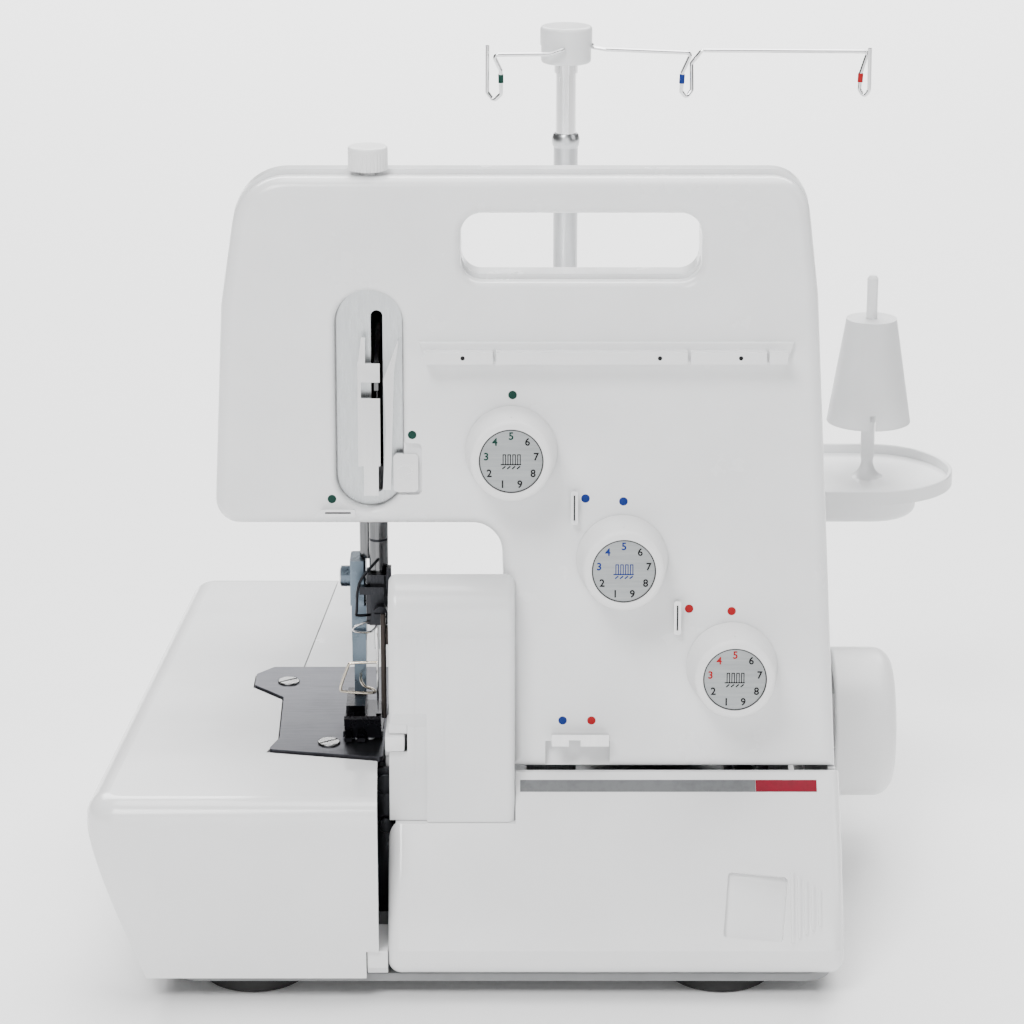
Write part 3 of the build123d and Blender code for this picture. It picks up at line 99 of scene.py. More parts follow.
def spread(tree, value, low, high, to_low=0.0, to_high=1.0):
    node = tree.nodes.new("ShaderNodeMapRange")
    node.inputs["From Min"].default_value = low
    node.inputs["From Max"].default_value = high
    node.inputs["To Min"].default_value = to_low
    node.inputs["To Max"].default_value = to_high
    tree.links.new(value, node.inputs["Value"])
    return node.outputs["Result"]


def combine(tree, operation, first, second):
    node = tree.nodes.new("ShaderNodeMath")
    node.operation = operation
    for socket, value in zip(node.inputs, (first, second)):
        if isinstance(value, (int, float)):
            socket.default_value = value
        else:
            tree.links.new(value, socket)
    return node.outputs[0]


def make_moulded_skin():
    """Fine spark-eroded mould texture with a slow ripple under it."""
    group, source, sink = effect("moulded_skin", (("Grain", 900.0), ("Ripple", 14.0)),
                                 (("Height", "NodeSocketFloat"), ("Mottle", "NodeSocketFloat")))
    place = object_coordinates(group)
    grain = noise(group, place, source.outputs["Grain"], 2.0)
    ripple = noise(group, place, source.outputs["Ripple"], 1.0)
    height = combine(group, "ADD", combine(group, "MULTIPLY", grain, 0.35), ripple)
    group.links.new(height, sink.inputs["Height"])
    mottle = noise(group, place, 35.0, 4.0, 0.6)
    group.links.new(spread(group, mottle, 0.35, 0.7), sink.inputs["Mottle"])
    return group


def make_handling_marks():
    """Where hands leave a faint duller film, and tiny specks of lint."""
    group, source, sink = effect("handling_marks", (("Film", 22.0), ("Specks", 420.0)),
                                 (("Film", "NodeSocketFloat"), ("Specks", "NodeSocketFloat")))
    place = object_coordinates(group)
    film = noise(group, place, source.outputs["Film"], 5.0, 0.65)
    group.links.new(spread(group, film, 0.45, 0.72), sink.inputs["Film"])
    cells = group.nodes.new("ShaderNodeTexVoronoi")
    group.links.new(place, cells.inputs["Vector"])
    group.links.new(source.outputs["Specks"], cells.inputs["Scale"])
    specks = spread(group, cells.outputs["Distance"], 0.05, 0.11, 1.0, 0.0)
    group.links.new(specks, sink.inputs["Specks"])
    return group


def make_grinding_lines(name, stretch):
    """Long fine lines left by grinding or brushing."""
    group, source, sink = effect(name, (("Fineness", 60.0),), (("Lines", "NodeSocketFloat"),))
    place = object_coordinates(group, stretch)
    lines = noise(group, place, source.outputs["Fineness"], 6.0, 0.7)
    group.links.new(spread(group, lines, 0.3, 0.7), sink.inputs["Lines"])
    return group


MOULD_BUMP = 0.0002             # depth of the moulded texture, in metres
GRINDING_BUMP = 0.00005
SPECK_STRENGTH = 0.10
FILM_DULLING = 0.09             # how much rougher a handled patch is
SKIN = make_moulded_skin()
MARKS = make_handling_marks()
GROUND_ALONG_X = make_grinding_lines("ground_along_x", (1, 24, 24))
GROUND_ALONG_Z = make_grinding_lines("ground_along_z", (24, 24, 1))


def place_effect(tree, group, **values):
    node = tree.nodes.new("ShaderNodeGroup")
    node.node_tree = group
    for label, value in values.items():
        node.inputs[label].default_value = value
    return node.outputs


def blank_finish(name, **sockets):
    """A material whose shader has these plain values, and its tree and shader."""
    material = bpy.data.materials.new(name)
    material.use_nodes = True
    tree = material.node_tree
    shader = tree.nodes["Principled BSDF"]
    for label, value in sockets.items():
        shader.inputs[label.replace("_", " ")].default_value = value
    return material, tree, shader


def two_tone(tree, mask, first, second):
    node = tree.nodes.new("ShaderNodeMix")
    node.data_type = "RGBA"
    node.inputs["A"].default_value = (*first, 1)
    node.inputs["B"].default_value = (*second, 1)
    tree.links.new(mask, node.inputs["Factor"])
    return node.outputs["Result"]


def raise_surface(tree, shader, height, strength, distance):
    bump = tree.nodes.new("ShaderNodeBump")
    bump.inputs["Strength"].default_value = strength
    bump.inputs["Distance"].default_value = distance
    tree.links.new(height, bump.inputs["Height"])
    tree.links.new(bump.outputs["Normal"], shader.inputs["Normal"])


def plastic(name, base, shade, gloss, grain=900.0, coat=0.2, bump=0.08,
            dusty=(0.62, 0.61, 0.59), **more):
    """Moulded plastic: slight mottle, a film where it is handled, rare specks, fine mould grain."""
    material, tree, shader = blank_finish(name, Coat_Weight=coat, Coat_Roughness=0.12, IOR=1.49,
                                          **more)
    skin = place_effect(tree, SKIN, Grain=grain)
    marks = place_effect(tree, MARKS)
    tone = two_tone(tree, skin["Mottle"], base, shade)
    specks = tree.nodes.new("ShaderNodeMix")
    specks.data_type = "RGBA"
    specks.inputs["B"].default_value = (*dusty, 1)
    tree.links.new(tone, specks.inputs["A"])
    lint = combine(tree, "MULTIPLY", marks["Specks"], marks["Film"])
    tree.links.new(combine(tree, "MULTIPLY", lint, SPECK_STRENGTH), specks.inputs["Factor"])
    tree.links.new(specks.outputs["Result"], shader.inputs["Base Color"])
    tree.links.new(spread(tree, marks["Film"], 0, 1, gloss, gloss + FILM_DULLING),
                   shader.inputs["Roughness"])
    raise_surface(tree, shader, skin["Height"], bump, MOULD_BUMP)
    return material


def metal(name, base, shade, low, high, lines=GROUND_ALONG_Z, fineness=60.0, bump=0.1,
          **more):
    """Ground or plated metal: brushed lines, and smudges that dull it."""
    material, tree, shader = blank_finish(name, Metallic=1.0, **more)
    brushed = place_effect(tree, lines, Fineness=fineness)["Lines"]
    film = place_effect(tree, MARKS, Film=60.0)["Film"]
    tone = two_tone(tree, brushed, base, shade)
    tree.links.new(tone, shader.inputs["Base Color"])
    tree.links.new(spread(tree, combine(tree, "ADD", brushed, film), 0, 2, low, high),
                   shader.inputs["Roughness"])
    raise_surface(tree, shader, brushed, bump, GRINDING_BUMP)
    return material


SPLIT_BLUR = 0.2                # half the height of the change between the two finishes, in mm


def two_part_steel(name, below, above, split_height):
    """Blackened below a height and plated above it, for a piece assembled from two."""
    material, tree, shader = blank_finish(name, Metallic=1.0)
    place = tree.nodes.new("ShaderNodeSeparateXYZ")
    tree.links.new(object_coordinates(tree), place.inputs["Vector"])
    low, high = (split_height - SPLIT_BLUR) * MM, (split_height + SPLIT_BLUR) * MM
    edge = spread(tree, place.outputs["Z"], low, high)
    film = place_effect(tree, MARKS, Film=90.0)["Film"]
    tree.links.new(two_tone(tree, edge, below, above), shader.inputs["Base Color"])
    tree.links.new(spread(tree, film, 0, 1, 0.24, 0.36), shader.inputs["Roughness"])
    raise_surface(tree, shader, film, 0.08, GRINDING_BUMP)
    return material


def ink(name, colour, gloss=0.45):
    """Printed or painted marks, a little uneven."""
    material, tree, shader = blank_finish(name, IOR=1.3)
    film = place_effect(tree, MARKS, Film=300.0)["Film"]
    deeper = tuple(0.8 * channel for channel in colour)
    tree.links.new(two_tone(tree, film, colour, deeper), shader.inputs["Base Color"])
    tree.links.new(spread(tree, film, 0, 1, gloss, gloss + 0.12), shader.inputs["Roughness"])
    return material


WHITE = (0.84, 0.845, 0.85)
housing_white = plastic("housing_white", WHITE, (0.80, 0.805, 0.81), 0.22)
cover_white = plastic("cover_white", (0.86, 0.862, 0.865), (0.83, 0.832, 0.835), 0.17, coat=0.35,
                      bump=0.05)
guard_white = plastic("guard_white", (0.82, 0.825, 0.83), (0.79, 0.795, 0.80), 0.2, coat=0.3,
                      bump=0.05)
knob_white = plastic("knob_white", (0.85, 0.85, 0.85), (0.82, 0.82, 0.82), 0.34, grain=1400.0,
                     coat=0.05)
stand_white = plastic("stand_white", (0.86, 0.865, 0.87), (0.83, 0.835, 0.84), 0.3, coat=0.05,
                      Transmission_Weight=0.12)
cone_white = plastic("cone_white", (0.88, 0.885, 0.89), (0.85, 0.855, 0.86), 0.38, coat=0.0,
                     Transmission_Weight=0.35)
dial_face_grey = metal("dial_face_grey", (0.36, 0.375, 0.38), (0.30, 0.315, 0.32), 0.36, 0.5,
                       GROUND_ALONG_X, 40.0, 0.03)
insert_silver = metal("insert_silver", (0.60, 0.62, 0.63), (0.50, 0.52, 0.53), 0.24, 0.36)
black_plastic = plastic("black_plastic", (0.02, 0.02, 0.022), (0.03, 0.03, 0.032), 0.42,
                        dusty=(0.2, 0.2, 0.2), coat=0.0, bump=0.2)
pan_grey = plastic("pan_grey", (0.24, 0.245, 0.25), (0.2, 0.205, 0.21), 0.5, dusty=(0.4, 0.4, 0.4))
foot_rubber = plastic("foot_rubber", (0.012, 0.012, 0.012), (0.02, 0.02, 0.02), 0.7, grain=500.0,
                      coat=0.0, bump=0.4, dusty=(0.1, 0.1, 0.1))
chrome = metal("chrome", (0.82, 0.82, 0.82), (0.74, 0.74, 0.75), 0.06, 0.16, fineness=30.0,
               bump=0.02)
bar_steel = metal("bar_steel", (0.17, 0.172, 0.176), (0.11, 0.112, 0.116), 0.14, 0.28)
foot_steel = two_part_steel("foot_steel", (0.03, 0.03, 0.034), (0.13, 0.165, 0.20), 90.5)
plate_steel = metal("plate_steel", (0.085, 0.086, 0.096), (0.062, 0.063, 0.072), 0.38, 0.5,
                    GROUND_ALONG_X, 50.0, 0.12)
black_steel = metal("black_steel", (0.035, 0.036, 0.04), (0.024, 0.025, 0.028), 0.26, 0.36)
brown_steel = metal("brown_steel", (0.05, 0.042, 0.038), (0.035, 0.03, 0.028), 0.3, 0.42)
screw_steel = metal("screw_steel", (0.34, 0.34, 0.34), (0.24, 0.24, 0.24), 0.2, 0.36,
                    GROUND_ALONG_X)
ground_steel = metal("ground_steel", (0.6, 0.61, 0.62), (0.5, 0.51, 0.52), 0.22, 0.4)
tube_satin = metal("tube_satin", (0.62, 0.63, 0.64), (0.52, 0.53, 0.54), 0.28, 0.4, fineness=80.0)
cast_grey = metal("cast_grey", (0.5, 0.51, 0.52), (0.42, 0.43, 0.44), 0.5, 0.7, bump=0.3)
bronze = metal("bronze", (0.62, 0.44, 0.22), (0.5, 0.35, 0.18), 0.3, 0.5)
brass_wire = metal("brass_wire", (0.66, 0.60, 0.50), (0.52, 0.46, 0.38), 0.18, 0.35)
# black print for the dial numbers, also used as painted shade for the guide slots and ledge holes
ink_and_painted_shade_black = ink("ink_and_painted_shade_black", (0.008, 0.008, 0.009), 0.55)
ink_green = ink("ink_green", (0.0005, 0.035, 0.024))
ink_blue = ink("ink_blue", (0.002, 0.02, 0.17))
ink_red = ink("ink_red", (0.34, 0.002, 0.006))
stripe_grey = ink("stripe_grey", (0.15, 0.155, 0.16), 0.35)
stripe_red = ink("stripe_red", (0.20, 0.004, 0.018), 0.3)
DIAL_INKS = (ink_green, ink_blue, ink_red)

NODE_FINISHES = {
    housing_white: ("front_cover", "rear_cover", "bed_plate", "thread_ledge"),
    cover_white: ("cloth_plate_cover", "looper_cover"),
    guard_white: ("knife_guard", "stitch_finger_lever"),
    knob_white: ("handwheel", "pressure_knob", "stitch_length_dial", "tension_dial_left",
                 "tension_dial_middle", "tension_dial_right"),
    stand_white: ("spool_tray", "spool_pins", "guide_cap"),
    cone_white: ("spool_cone_left", "spool_cone_middle", "spool_cone_right"),
    insert_silver: ("take_up_insert",),
    black_plastic: ("power_inlet", "power_switch"),
    pan_grey: ("base_pan",),
    foot_rubber: ("rubber_feet", "drive_belt"),
    chrome: ("take_up_bracket", "thread_clamp", "guide_wires", "stand_inner_tube", "wire_guides",
             "lower_thread_guide", "needle"),
    tube_satin: ("stand_tube",),
    bar_steel: ("needle_bar", "presser_bar", "take_up_lever", "presser_spring"),
    plate_steel: ("needle_plate",),
    black_steel: ("needle_clamp", "presser_lifter", "clamp_screw"),
    foot_steel: ("presser_foot",),
    screw_steel: ("needle_plate_screws",),
    ground_steel: ("main_shaft", "lever_shaft", "needle_lever", "looper_shafts",
                   "lower_looper", "upper_looper", "fixed_knife", "moving_knife", "feed_dog",
                   "tension_posts", "cover_hinge_rod", "drive_pulley", "motor_pulley"),
    cast_grey: ("chassis_frame", "motor"),
    bronze: ("shaft_bushes",),
}


def finish_cad_nodes():
    for material, names in NODE_FINISHES.items():
        for name in names:
            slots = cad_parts[name].data.materials
            slots.clear()
            slots.append(material)


# ---- making pieces ------------------------------------------------------------------------------
def keep_piece(name, bm, body, material, crease=35):
    """Turns a finished bmesh into a piece that rides on a body."""
    bmesh.ops.recalc_face_normals(bm, faces=bm.faces)
    mesh = bpy.data.meshes.new(name)
    bm.to_mesh(mesh)
    bm.free()
    mesh.materials.append(material)
    mesh.polygons.foreach_set("use_smooth", [True] * len(mesh.polygons))
    mesh.set_sharp_from_angle(angle=radians(crease))
    piece = bpy.data.objects.new(name, mesh)
    bpy.context.scene.collection.objects.link(piece)
    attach(piece, body)
    return piece


def add_disc(bm, radius, low, high, place, rounding=0.0, sides=48):
    """A round disc from low to high along its local Z; place is a matrix. Sizes are in mm."""
    made = bmesh.ops.create_cone(bm, cap_ends=True, segments=sides, radius1=radius * MM,
                                 radius2=radius * MM, depth=(high - low) * MM)
    verts = made["verts"]
    bmesh.ops.translate(bm, verts=verts, vec=(0, 0, (low + high) / 2 * MM))
    if rounding:
        top = max(v.co.z for v in verts)
        rim = {e for v in verts for e in v.link_edges
               if all(abs(w.co.z - top) < 1e-7 for w in e.verts)}
        done = bmesh.ops.bevel(bm, geom=list(rim), offset=rounding * MM, affect="EDGES", segments=3,
                               profile=0.5, material=-1)
        verts = list({v for v in verts if v.is_valid} | set(done["verts"]))
    bmesh.ops.transform(bm, matrix=place, verts=verts)


def add_slab(bm, size, centre, place, rounding=0.0, turn=0.0):
    """A block of this size about centre, turned about its local Z, in mm."""
    scale = Matrix.Diagonal((*(value * MM for value in size), 1))
    spin = Matrix.Rotation(radians(turn), 4, "Z")
    move = Matrix.Translation(Vector(centre) * MM)
    made = bmesh.ops.create_cube(bm, size=1, matrix=move @ spin @ scale)
    verts = made["verts"]
    if rounding:
        edges = list({e for v in verts for e in v.link_edges})
        done = bmesh.ops.bevel(bm, geom=edges, offset=rounding * MM, affect="EDGES", segments=2,
                               profile=0.5, material=-1)
        verts = list({v for v in verts if v.is_valid} | set(done["verts"]))
    bmesh.ops.transform(bm, matrix=place, verts=verts)


def at_panel(across, up, out=0.0):
    return PANEL @ Matrix.Translation(Vector((across, up, out)) * MM)


def at_point(x, y, z):
    return Matrix.Translation(Vector((x, y, z)) * MM)


def facing_user(x, y, z):
    """Local X stays across, local Y goes up and local Z comes towards the user."""
    return at_point(x, y, z) @ Matrix.Rotation(radians(90), 4, "X")


DIGIT_SHARE = 0.7               # a digit's height as a share of the letter size
STROKE_SWELL = 0.09             # makes the strokes bolder, in mm


def lettering(text, height, thickness):
    """A character as a bmesh, centred, in its local XY plane."""
    curve = bpy.data.curves.new("character", "FONT")
    curve.body = text
    curve.size = height * MM / DIGIT_SHARE
    curve.extrude = thickness * MM / 2
    curve.offset = STROKE_SWELL * MM
    curve.resolution_u = 3
    curve.align_x = "CENTER"
    curve.align_y = "CENTER"
    holder = bpy.data.objects.new("character", curve)
    bpy.context.scene.collection.objects.link(holder)
    bpy.context.view_layer.update()
    mesh = bpy.data.meshes.new_from_object(holder)
    bm = bmesh.new()
    bm.from_mesh(mesh)
    bmesh.ops.remove_doubles(bm, verts=bm.verts, dist=1e-7)
    bpy.data.objects.remove(holder)
    bpy.data.curves.remove(curve)
    bpy.data.meshes.remove(mesh)
    return bm


def bent_wire(name, points, radius, body, material):
    """A round wire that bends smoothly near its points, in mm."""
    curve = bpy.data.curves.new(name, "CURVE")
    curve.dimensions = "3D"
    curve.bevel_depth = radius * MM
    curve.bevel_resolution = 3
    curve.resolution_u = 6
    curve.use_fill_caps = True
    spline = curve.splines.new("NURBS")
    spline.points.add(len(points) - 1)
    for point, place in zip(spline.points, points):
        point.co = (*(value * MM for value in place), 1)
    spline.order_u = 3
    spline.use_endpoint_u = True
    holder = bpy.data.objects.new(name, curve)
    bpy.context.scene.collection.objects.link(holder)
    bpy.context.view_layer.update()
    mesh = bpy.data.meshes.new_from_object(holder)
    bm = bmesh.new()
    bm.from_mesh(mesh)
    bmesh.ops.remove_doubles(bm, verts=bm.verts, dist=1e-7)
    bpy.data.objects.remove(holder)
    bpy.data.curves.remove(curve)
    bpy.data.meshes.remove(mesh)
    return keep_piece(name, bm, body, material)


def add_sleeve(bm, start, end, inner, outer):
    """A short open tube along a line between two points, in mm."""
    start, end = Vector(start) * MM, Vector(end) * MM
    axis = (end - start).normalized()
    side = axis.orthogonal().normalized()
    corners = [bm.verts.new(start + side * inner * MM), bm.verts.new(start + side * outer * MM),
               bm.verts.new(end + side * outer * MM), bm.verts.new(end + side * inner * MM)]
    loop = [bm.edges.new((corners[i], corners[(i + 1) % 4])) for i in range(4)]
    bmesh.ops.spin(bm, geom=corners + loop, cent=start, axis=axis, angle=2 * pi, steps=20,
                   use_merge=True)
    bmesh.ops.remove_doubles(bm, verts=bm.verts, dist=1e-8)


# ---- tension dials ------------------------------------------------------------------------------
DIAL_CENTRES = ((-16.3, 120.7), (24.5, 80.1), (65.3, 39.5))
FACE_FLOOR = 18.7               # bottom of the recess in the dial, out from the panel
FACE_R = 11.3
RING_OUTER_R = 11.62
RING_INNER_R = 11.2
NUMBER_RING = 9.1
NUMBER_STEP = 40                # degrees between two numbers
NUMBER_HEIGHT = 2.7
COLOURED_NUMBERS = (3, 4, 5)
POINTER_RISE = 15.72            # from the dial's centre to its pointer
POINTER_TAPER = -83.6


def make_dial_face(side, centre, colour):
    """The numbered face, the ring round it and the pointer of a tension dial."""
    body = f"dial_{side}_body"
    hub = at_panel(*centre, FACE_FLOOR)
    bm = bmesh.new()
    add_disc(bm, FACE_R, 0.02, 0.46, hub, 0.15, 64)
    keep_piece(f"dial_face_{side}", bm, body, dial_face_grey)
    bm = bmesh.new()
    made = bmesh.ops.create_circle(bm, cap_ends=False, segments=64, radius=RING_OUTER_R * MM)
    ring = made["verts"]
    bmesh.ops.translate(bm, verts=ring, vec=(0, 0, 0.05 * MM))
    inner = bmesh.ops.extrude_edge_only(bm, edges=list(bm.edges))["geom"]
    inner = [item for item in inner if isinstance(item, bmesh.types.BMVert)]
    narrower = RING_INNER_R / RING_OUTER_R
    bmesh.ops.scale(bm, verts=inner, vec=(narrower, narrower, 1))
    bmesh.ops.solidify(bm, geom=list(bm.faces), thickness=-0.5 * MM)
    bmesh.ops.transform(bm, matrix=hub, verts=bm.verts)
    keep_piece(f"dial_ring_{side}", bm, body, black_plastic)
    plain, coloured = bmesh.new(), bmesh.new()
    for number in range(1, 10):
        angle = radians(90 + (5 - number) * NUMBER_STEP)
        spot = Vector((cos(angle) * NUMBER_RING, sin(angle) * NUMBER_RING, 0.5))
        place = hub @ Matrix.Translation(spot * MM)
        character = lettering(str(number), NUMBER_HEIGHT, 0.12)
        bmesh.ops.transform(character, matrix=place, verts=character.verts)
        mesh = bpy.data.meshes.new("number")
        character.to_mesh(mesh)
        character.free()
        (coloured if number in COLOURED_NUMBERS else plain).from_mesh(mesh)
        bpy.data.meshes.remove(mesh)
    icon = coloured if side == "middle" else plain
    add_stitch_sign(icon, hub)
    keep_piece(f"dial_numbers_{side}", plain, body, ink_and_painted_shade_black)
    keep_piece(f"dial_colour_numbers_{side}", coloured, body, colour)
    bm = bmesh.new()
    taper = Matrix.Rotation(radians(POINTER_TAPER), 4, "X")
    tick = at_panel(centre[0], centre[1] + POINTER_RISE, 11) @ taper
    add_slab(bm, (0.7, 8.5, 0.16), (0, 0, 0), tick)
    keep_piece(f"dial_pointer_{side}", bm, body, knob_white)


def add_stitch_sign(bm, hub):
    """A small sign of overlock stitches: loops over a seam line."""
    height = 0.5
    for column in range(4):
        x = -2.9 + column * 1.75
        add_slab(bm, (0.35, 3.6, 0.1), (x, 0.6, height), hub)
        add_slab(bm, (0.35, 3.6, 0.1), (x + 0.9, 0.6, height), hub)
        add_slab(bm, (1.2, 0.35, 0.1), (x + 0.45, 2.4, height), hub)
        add_slab(bm, (1.5, 0.45, 0.1), (x + 0.3, -2.3, height), hub, turn=40)
    add_slab(bm, (7.4, 0.4, 0.1), (-0.1, -1.2, height), hub)


# ---- printed marks and trim on the panel --------------------------------------------------------
DOTS = {
    "green": (ink_green, ((-15.8, 141.4), (-52.4, 126.6), (-81.9, 102.7))),
    "blue": (ink_blue, ((10.9, 102.9), (24.8, 101.8), (2.8, 18.5))),
    "red": (ink_red, ((49.3, 61.3), (65.0, 60.4), (13.5, 18.5))),
}


def make_thread_dots():
    """Coloured dots that show each thread's path."""
    for name, (colour, places) in DOTS.items():
        bm = bmesh.new()
        for across, up in places:
            add_disc(bm, 1.6, 0.0, 0.06, at_panel(across, up), 0.03, 24)
        keep_piece(f"thread_dots_{name}", bm, "machine", colour)


TURNED_AWAY = -0.3              # a face whose normal has more Y than this isn't on the user's side


def skin_of(node, low, high, lift):
    """The user-facing skin of a CAD node between two corners, lifted off it, in mm."""
    bm = bmesh.new()
    bm.from_mesh(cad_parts[node].data)
    bmesh.ops.remove_doubles(bm, verts=bm.verts, dist=1e-6)
    for axis in range(3):
        normal = Vector((0, 0, 0))
        normal[axis] = 1
        for corner, keep_above in ((low, True), (high, False)):
            point = Vector((0, 0, 0))
            point[axis] = corner[axis] * MM
            bmesh.ops.bisect_plane(bm, geom=bm.verts[:] + bm.edges[:] + bm.faces[:],
                                   plane_co=point, plane_no=normal, clear_inner=keep_above,
                                   clear_outer=not keep_above)
    inner = [face for face in bm.faces if face.normal.y > TURNED_AWAY]
    bmesh.ops.delete(bm, geom=inner, context="FACES")
    bm.normal_update()
    for vert in bm.verts:
        vert.co += vert.normal * lift * MM
    return bm


STRIPE_LOW, STRIPE_HIGH = 69.6, 73.0
STRIPES = (("grey", -13.0, 74.4, stripe_grey), ("red", 74.5, 97.2, stripe_red))


def make_stripe():
    """The two-colour trim strip along the top of the looper cover."""
    for name, start, end, colour in STRIPES:
        bm = skin_of("looper_cover", (start, -112, STRIPE_LOW), (end, -95, STRIPE_HIGH), 0.12)
        keep_piece(f"trim_stripe_{name}", bm, "looper_cover_body", colour)


# ---- thread stand -------------------------------------------------------------------------------
WIRE_SLEEVES = (
    ("green", ink_green, (-20.53, 78.7, 305.2), (-20.47, 78.85, 301.8)),
    ("blue", ink_blue, (52.95, 84.28, 304.3), (52.75, 84.55, 300.6)),
    ("red", ink_red, (125.6, 88.4, 304.0), (125.4, 88.2, 300.4)),
)


def make_wire_sleeves():
    """Coloured sleeves on the guide wires, one for each thread."""
    for name, colour, start, end in WIRE_SLEEVES:
        bm = bmesh.new()
        add_sleeve(bm, start, end, 0.82, 1.1)
        keep_piece(f"wire_sleeve_{name}", bm, "guide_head", colour)


# ---- needle, presser and knife details ----------------------------------------------------------
THREAD_HOOK = ((-66.2, -63.4, 146.5), (-68.2, -66.5, 145.4), (-74.2, -69.4, 138.8),
               (-74.4, -69.4, 127.3), (-75.1, -69.0, 125.6), (-69.5, -66.2, 125.3))
THREAD_LOOP = ((-69.5, -64.5, 122.4), (-75.2, -66.4, 120.9), (-76.4, -66.4, 119.5),
               (-75.2, -66.4, 118.3), (-67.6, -66.4, 118.3), (-66.8, -64.0, 121.8))
FINGER_GUARD = ((-73.8, -57.6, 98.6), (-73.8, -69.0, 98.0), (-67.6, -73.0, 97.6),
                (-67.6, -78.0, 98.0), (-79.9, -78.0, 98.7), (-81.0, -78.0, 99.6),
                (-77.6, -78.0, 109.2), (-76.8, -78.0, 110.4), (-66.6, -78.0, 110.5))


def make_needle_bar_details():
    """The dark ring on the needle bar and the two wires that lead the thread to the needles."""
    bm = bmesh.new()
    add_sleeve(bm, (-66.3, -60, 153.2), (-66.3, -60, 154.2), 3.55, 3.66)
    keep_piece("needle_bar_ring", bm, "needle_bar_body", black_steel)
    bent_wire("needle_thread_hook", THREAD_HOOK, 0.55, "needle_bar_body",
              black_steel)
    bent_wire("needle_thread_loop", THREAD_LOOP, 0.45, "needle_bar_body", chrome)


def make_presser_details():
    """The wire finger guard and the clamp screw of the presser foot."""
    bent_wire("finger_guard", FINGER_GUARD, 0.55, "presser_body", brass_wire)
    bm = bmesh.new()
    turn = Matrix.Rotation(radians(-90), 4, "Y")
    add_disc(bm, 3.2, 0.0, 0.5, at_point(-80.95, -52, 136) @ turn, 0.2, 32)
    keep_piece("presser_screw_face", bm, "presser_body", ground_steel)


def make_knife_details():
    """The upright holder and screw block of the moving knife."""
    bm = bmesh.new()
    add_slab(bm, (2.0, 2.0, 41.5), (-64.2, -78.2, 109.2), Matrix.Identity(4), 0.3)
    add_slab(bm, (3.4, 3.0, 7.0), (-62.6, -76.6, 121), Matrix.Identity(4), 0.3)
    keep_piece("knife_holder", bm, "moving_knife_body", brown_steel)


def make_looper_bracket():
    """The dark bracket and its two screws in the gap beside the looper cover."""
    bm = bmesh.new()
    add_slab(bm, (6.6, 2.4, 58.4), (-63.2, -93.4, 45.2), Matrix.Identity(4), 0.3)
    add_disc(bm, 3.9, 0.0, 2.2, facing_user(-63.3, -94.6, 68.8), 0.6, 32)
    add_disc(bm, 3.0, 0.0, 2.0, facing_user(-63.3, -94.6, 52.0), 0.5, 32)
    keep_piece("looper_bracket", bm, "machine", black_steel)


GUIDE_LINES = ((-52.3, 78, 123.5, 0.6), (-41.5, 78, 123.5, 0.6))
TICK_START = -56.6
TICK_STEP = 2.9
TICK_LOW = 126
TICK_HIGH = 135
SHORTER_BY = 3.0                # every second tick is shorter


def make_guard_marks():
    """Raised guide lines and ticks on the knife guard."""
    marks = list(GUIDE_LINES)
    marks += [(TICK_START + TICK_STEP * step, TICK_LOW, TICK_HIGH - SHORTER_BY * (step % 2), 0.7)
              for step in range(6)]
    for index, (x, low, high, width) in enumerate(marks):
        bm = skin_of("knife_guard", (x, -125, low), (x + width, -98, high), 0.22)
        bmesh.ops.solidify(bm, geom=list(bm.faces), thickness=0.3 * MM)
        keep_piece(f"guard_mark_{index}", bm, "looper_cover_body", guard_white)


def make_finger_lever_tip():
    """The lever's thumb piece in the guard's notch, and the guard's lip over it."""
    bm = bmesh.new()
    add_slab(bm, (7.2, 24.4, 5.8), (-59.2, -98.4, 90.1), Matrix.Identity(4), 0.8)
    add_slab(bm, (5.6, 4.2, 9.0), (-60.0, -86.3, 84.5), Matrix.Identity(4), 0.3)
    keep_piece("finger_lever_tip", bm, "finger_lever_body", cover_white)
    bm = bmesh.new()
    lean = at_point(-58.1, -106.7, 95.3) @ Matrix.Rotation(radians(-5.5), 4, "X")
    add_slab(bm, (6.8, 2.2, 3.8), (0, 0, 0), lean, 0.15)
    keep_piece("guard_lip", bm, "looper_cover_body", guard_white)


def make_guide_slots():
    """Painted shade: thin black strips on the panel stand in for the shadowed slots behind the wire
    guides.
    """
    bm = bmesh.new()
    for across, up, turn in ((-79.6, 98.2, 0), (6.8, 100.0, 90), (44.9, 58.6, 90)):
        add_slab(bm, (9.3, 0.5, 0.5), (0, 0, 0), at_panel(across, up, 3.0), 0.0, turn)
    keep_piece("guide_slot_painted_shade", bm, "machine", ink_and_painted_shade_black)


EDGE_RADII = {"take_up_bracket": 0.35, "thread_clamp": 0.6, "wire_guides": 0.25,
              "presser_foot": 0.3, "needle_clamp": 0.3, "lower_thread_guide": 0.3}
SHARP_EDGE = radians(50)


def soften_pressed_metal():
    """Bent sheet has rounded edges."""
    for node, radius in EDGE_RADII.items():
        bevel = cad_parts[node].modifiers.new("rounded_edges", "BEVEL")
        bevel.width = radius * MM
        bevel.segments = 3
        bevel.limit_method = "ANGLE"
        bevel.angle_limit = SHARP_EDGE
        bevel.harden_normals = True


def make_ledge_holes():
    """Painted shade: small flat black discs along the front of the thread ledge stand in for the
    shade inside its holes.
    """
    bm = bmesh.new()
    for across in (-33.8, 37.3, 66.5):
        add_disc(bm, 0.8, 0.0, 0.04, at_panel(across, 156.3, 8.2), 0.0, 20)
    keep_piece("ledge_hole_painted_shade", bm, "machine", ink_and_painted_shade_black)


# ---- studio -------------------------------------------------------------------------------------
FLOOR_HALF_WIDTH = 4
FLOOR_CENTRE = (0, 0.8, -0.0002)    # just under the feet
WORLD_STRENGTH = 0.07
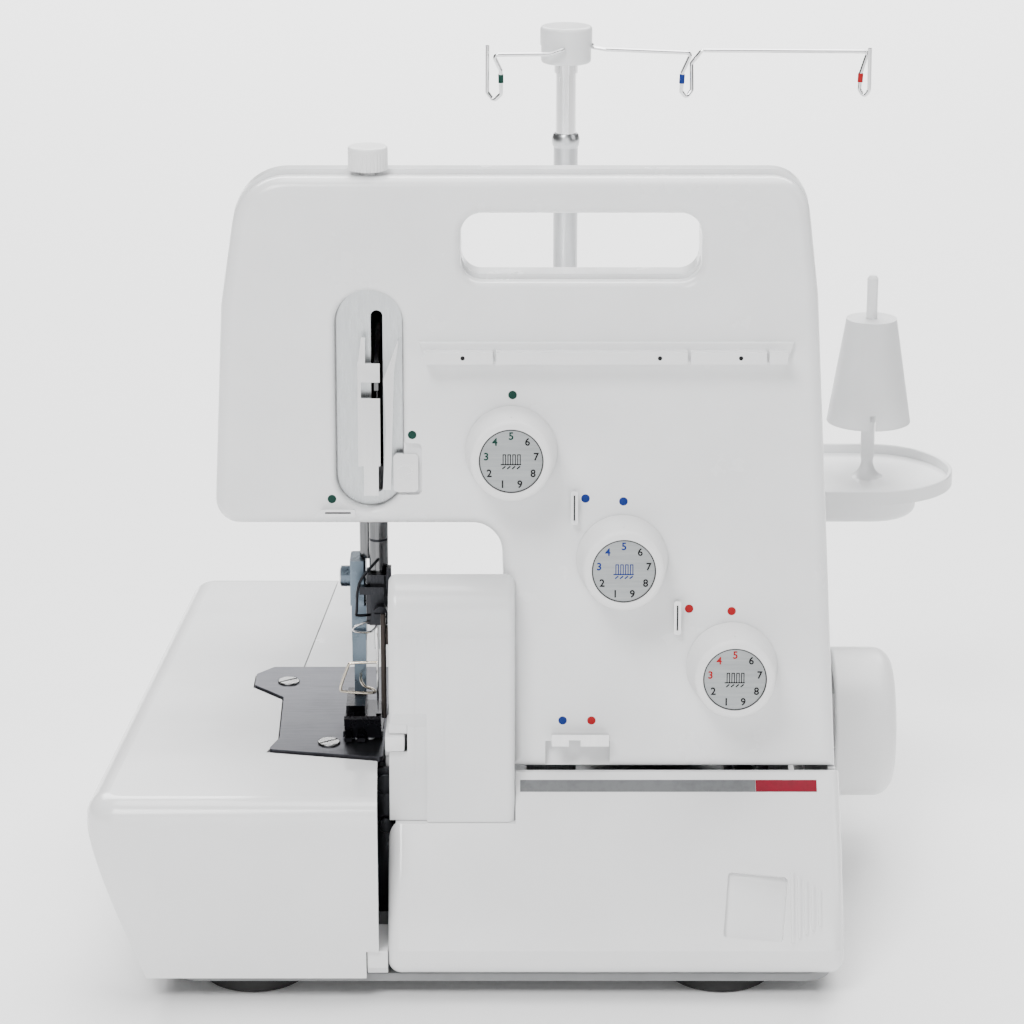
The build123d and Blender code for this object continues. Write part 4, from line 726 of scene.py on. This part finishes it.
# name, place, aimed at, width, height, watts
SOFTBOXES = (
    ("front_softbox", (0.0, -3.2, 0.85), (0, 0, 0.85), 3.4, 1.7, 42),
    ("key_softbox", (-0.7, -1.5, 2.0), (0, 0, 0.1), 0.9, 0.9, 52),
    ("right_softbox", (2.2, -0.6, 1.2), (0, 0, 0.1), 1.0, 1.2, 9),
    ("top_softbox", (0.2, 0.3, 2.4), (0, 0, 0.1), 1.8, 1.8, 75),
    ("floor_softbox", (0.0, 3.0, 2.2), (0, 2.6, 0), 4.0, 2.4, 330),
)


def softbox(name, place, aim, width, height, power):
    data = bpy.data.lights.new(name, "AREA")
    data.shape = "RECTANGLE"
    data.size = width
    data.size_y = height
    data.energy = power
    lamp = bpy.data.objects.new(name, data)
    lamp.location = place
    lamp.rotation_euler = (Vector(aim) - Vector(place)).to_track_quat("-Z", "Y").to_euler()
    bpy.context.scene.collection.objects.link(lamp)


def make_floor():
    bm = bmesh.new()
    bmesh.ops.create_grid(bm, x_segments=1, y_segments=1, size=FLOOR_HALF_WIDTH)
    bmesh.ops.translate(bm, verts=bm.verts, vec=FLOOR_CENTRE)
    mesh = bpy.data.meshes.new("studio_floor")
    bm.to_mesh(mesh)
    bm.free()
    floor = bpy.data.objects.new("studio_floor", mesh)
    material, tree, shader = blank_finish("floor_white", Roughness=0.6)
    fine = noise(tree, object_coordinates(tree), 60.0, 3.0)
    tree.links.new(two_tone(tree, fine, (0.93, 0.93, 0.93), (0.91, 0.91, 0.91)),
                   shader.inputs["Base Color"])
    mesh.materials.append(material)
    bpy.context.scene.collection.objects.link(floor)


def light_studio():
    world = bpy.data.worlds.new("studio_world")
    world.use_nodes = True
    background = world.node_tree.nodes["Background"]
    background.inputs["Color"].default_value = (1, 1, 1, 1)
    background.inputs["Strength"].default_value = WORLD_STRENGTH
    bpy.context.scene.world = world
    for box in SOFTBOXES:
        softbox(*box)


# ---- the whole scene ----------------------------------------------------------------------------
finish_cad_nodes()
set_up_camera()
for side, centre, colour in zip(DIALS, DIAL_CENTRES, DIAL_INKS):
    make_dial_face(side, centre, colour)
make_thread_dots()
make_stripe()
make_wire_sleeves()
make_needle_bar_details()
make_presser_details()
make_knife_details()
make_looper_bracket()
make_guard_marks()
make_ledge_holes()
make_finger_lever_tip()
make_guide_slots()
soften_pressed_metal()
make_floor()
light_studio()
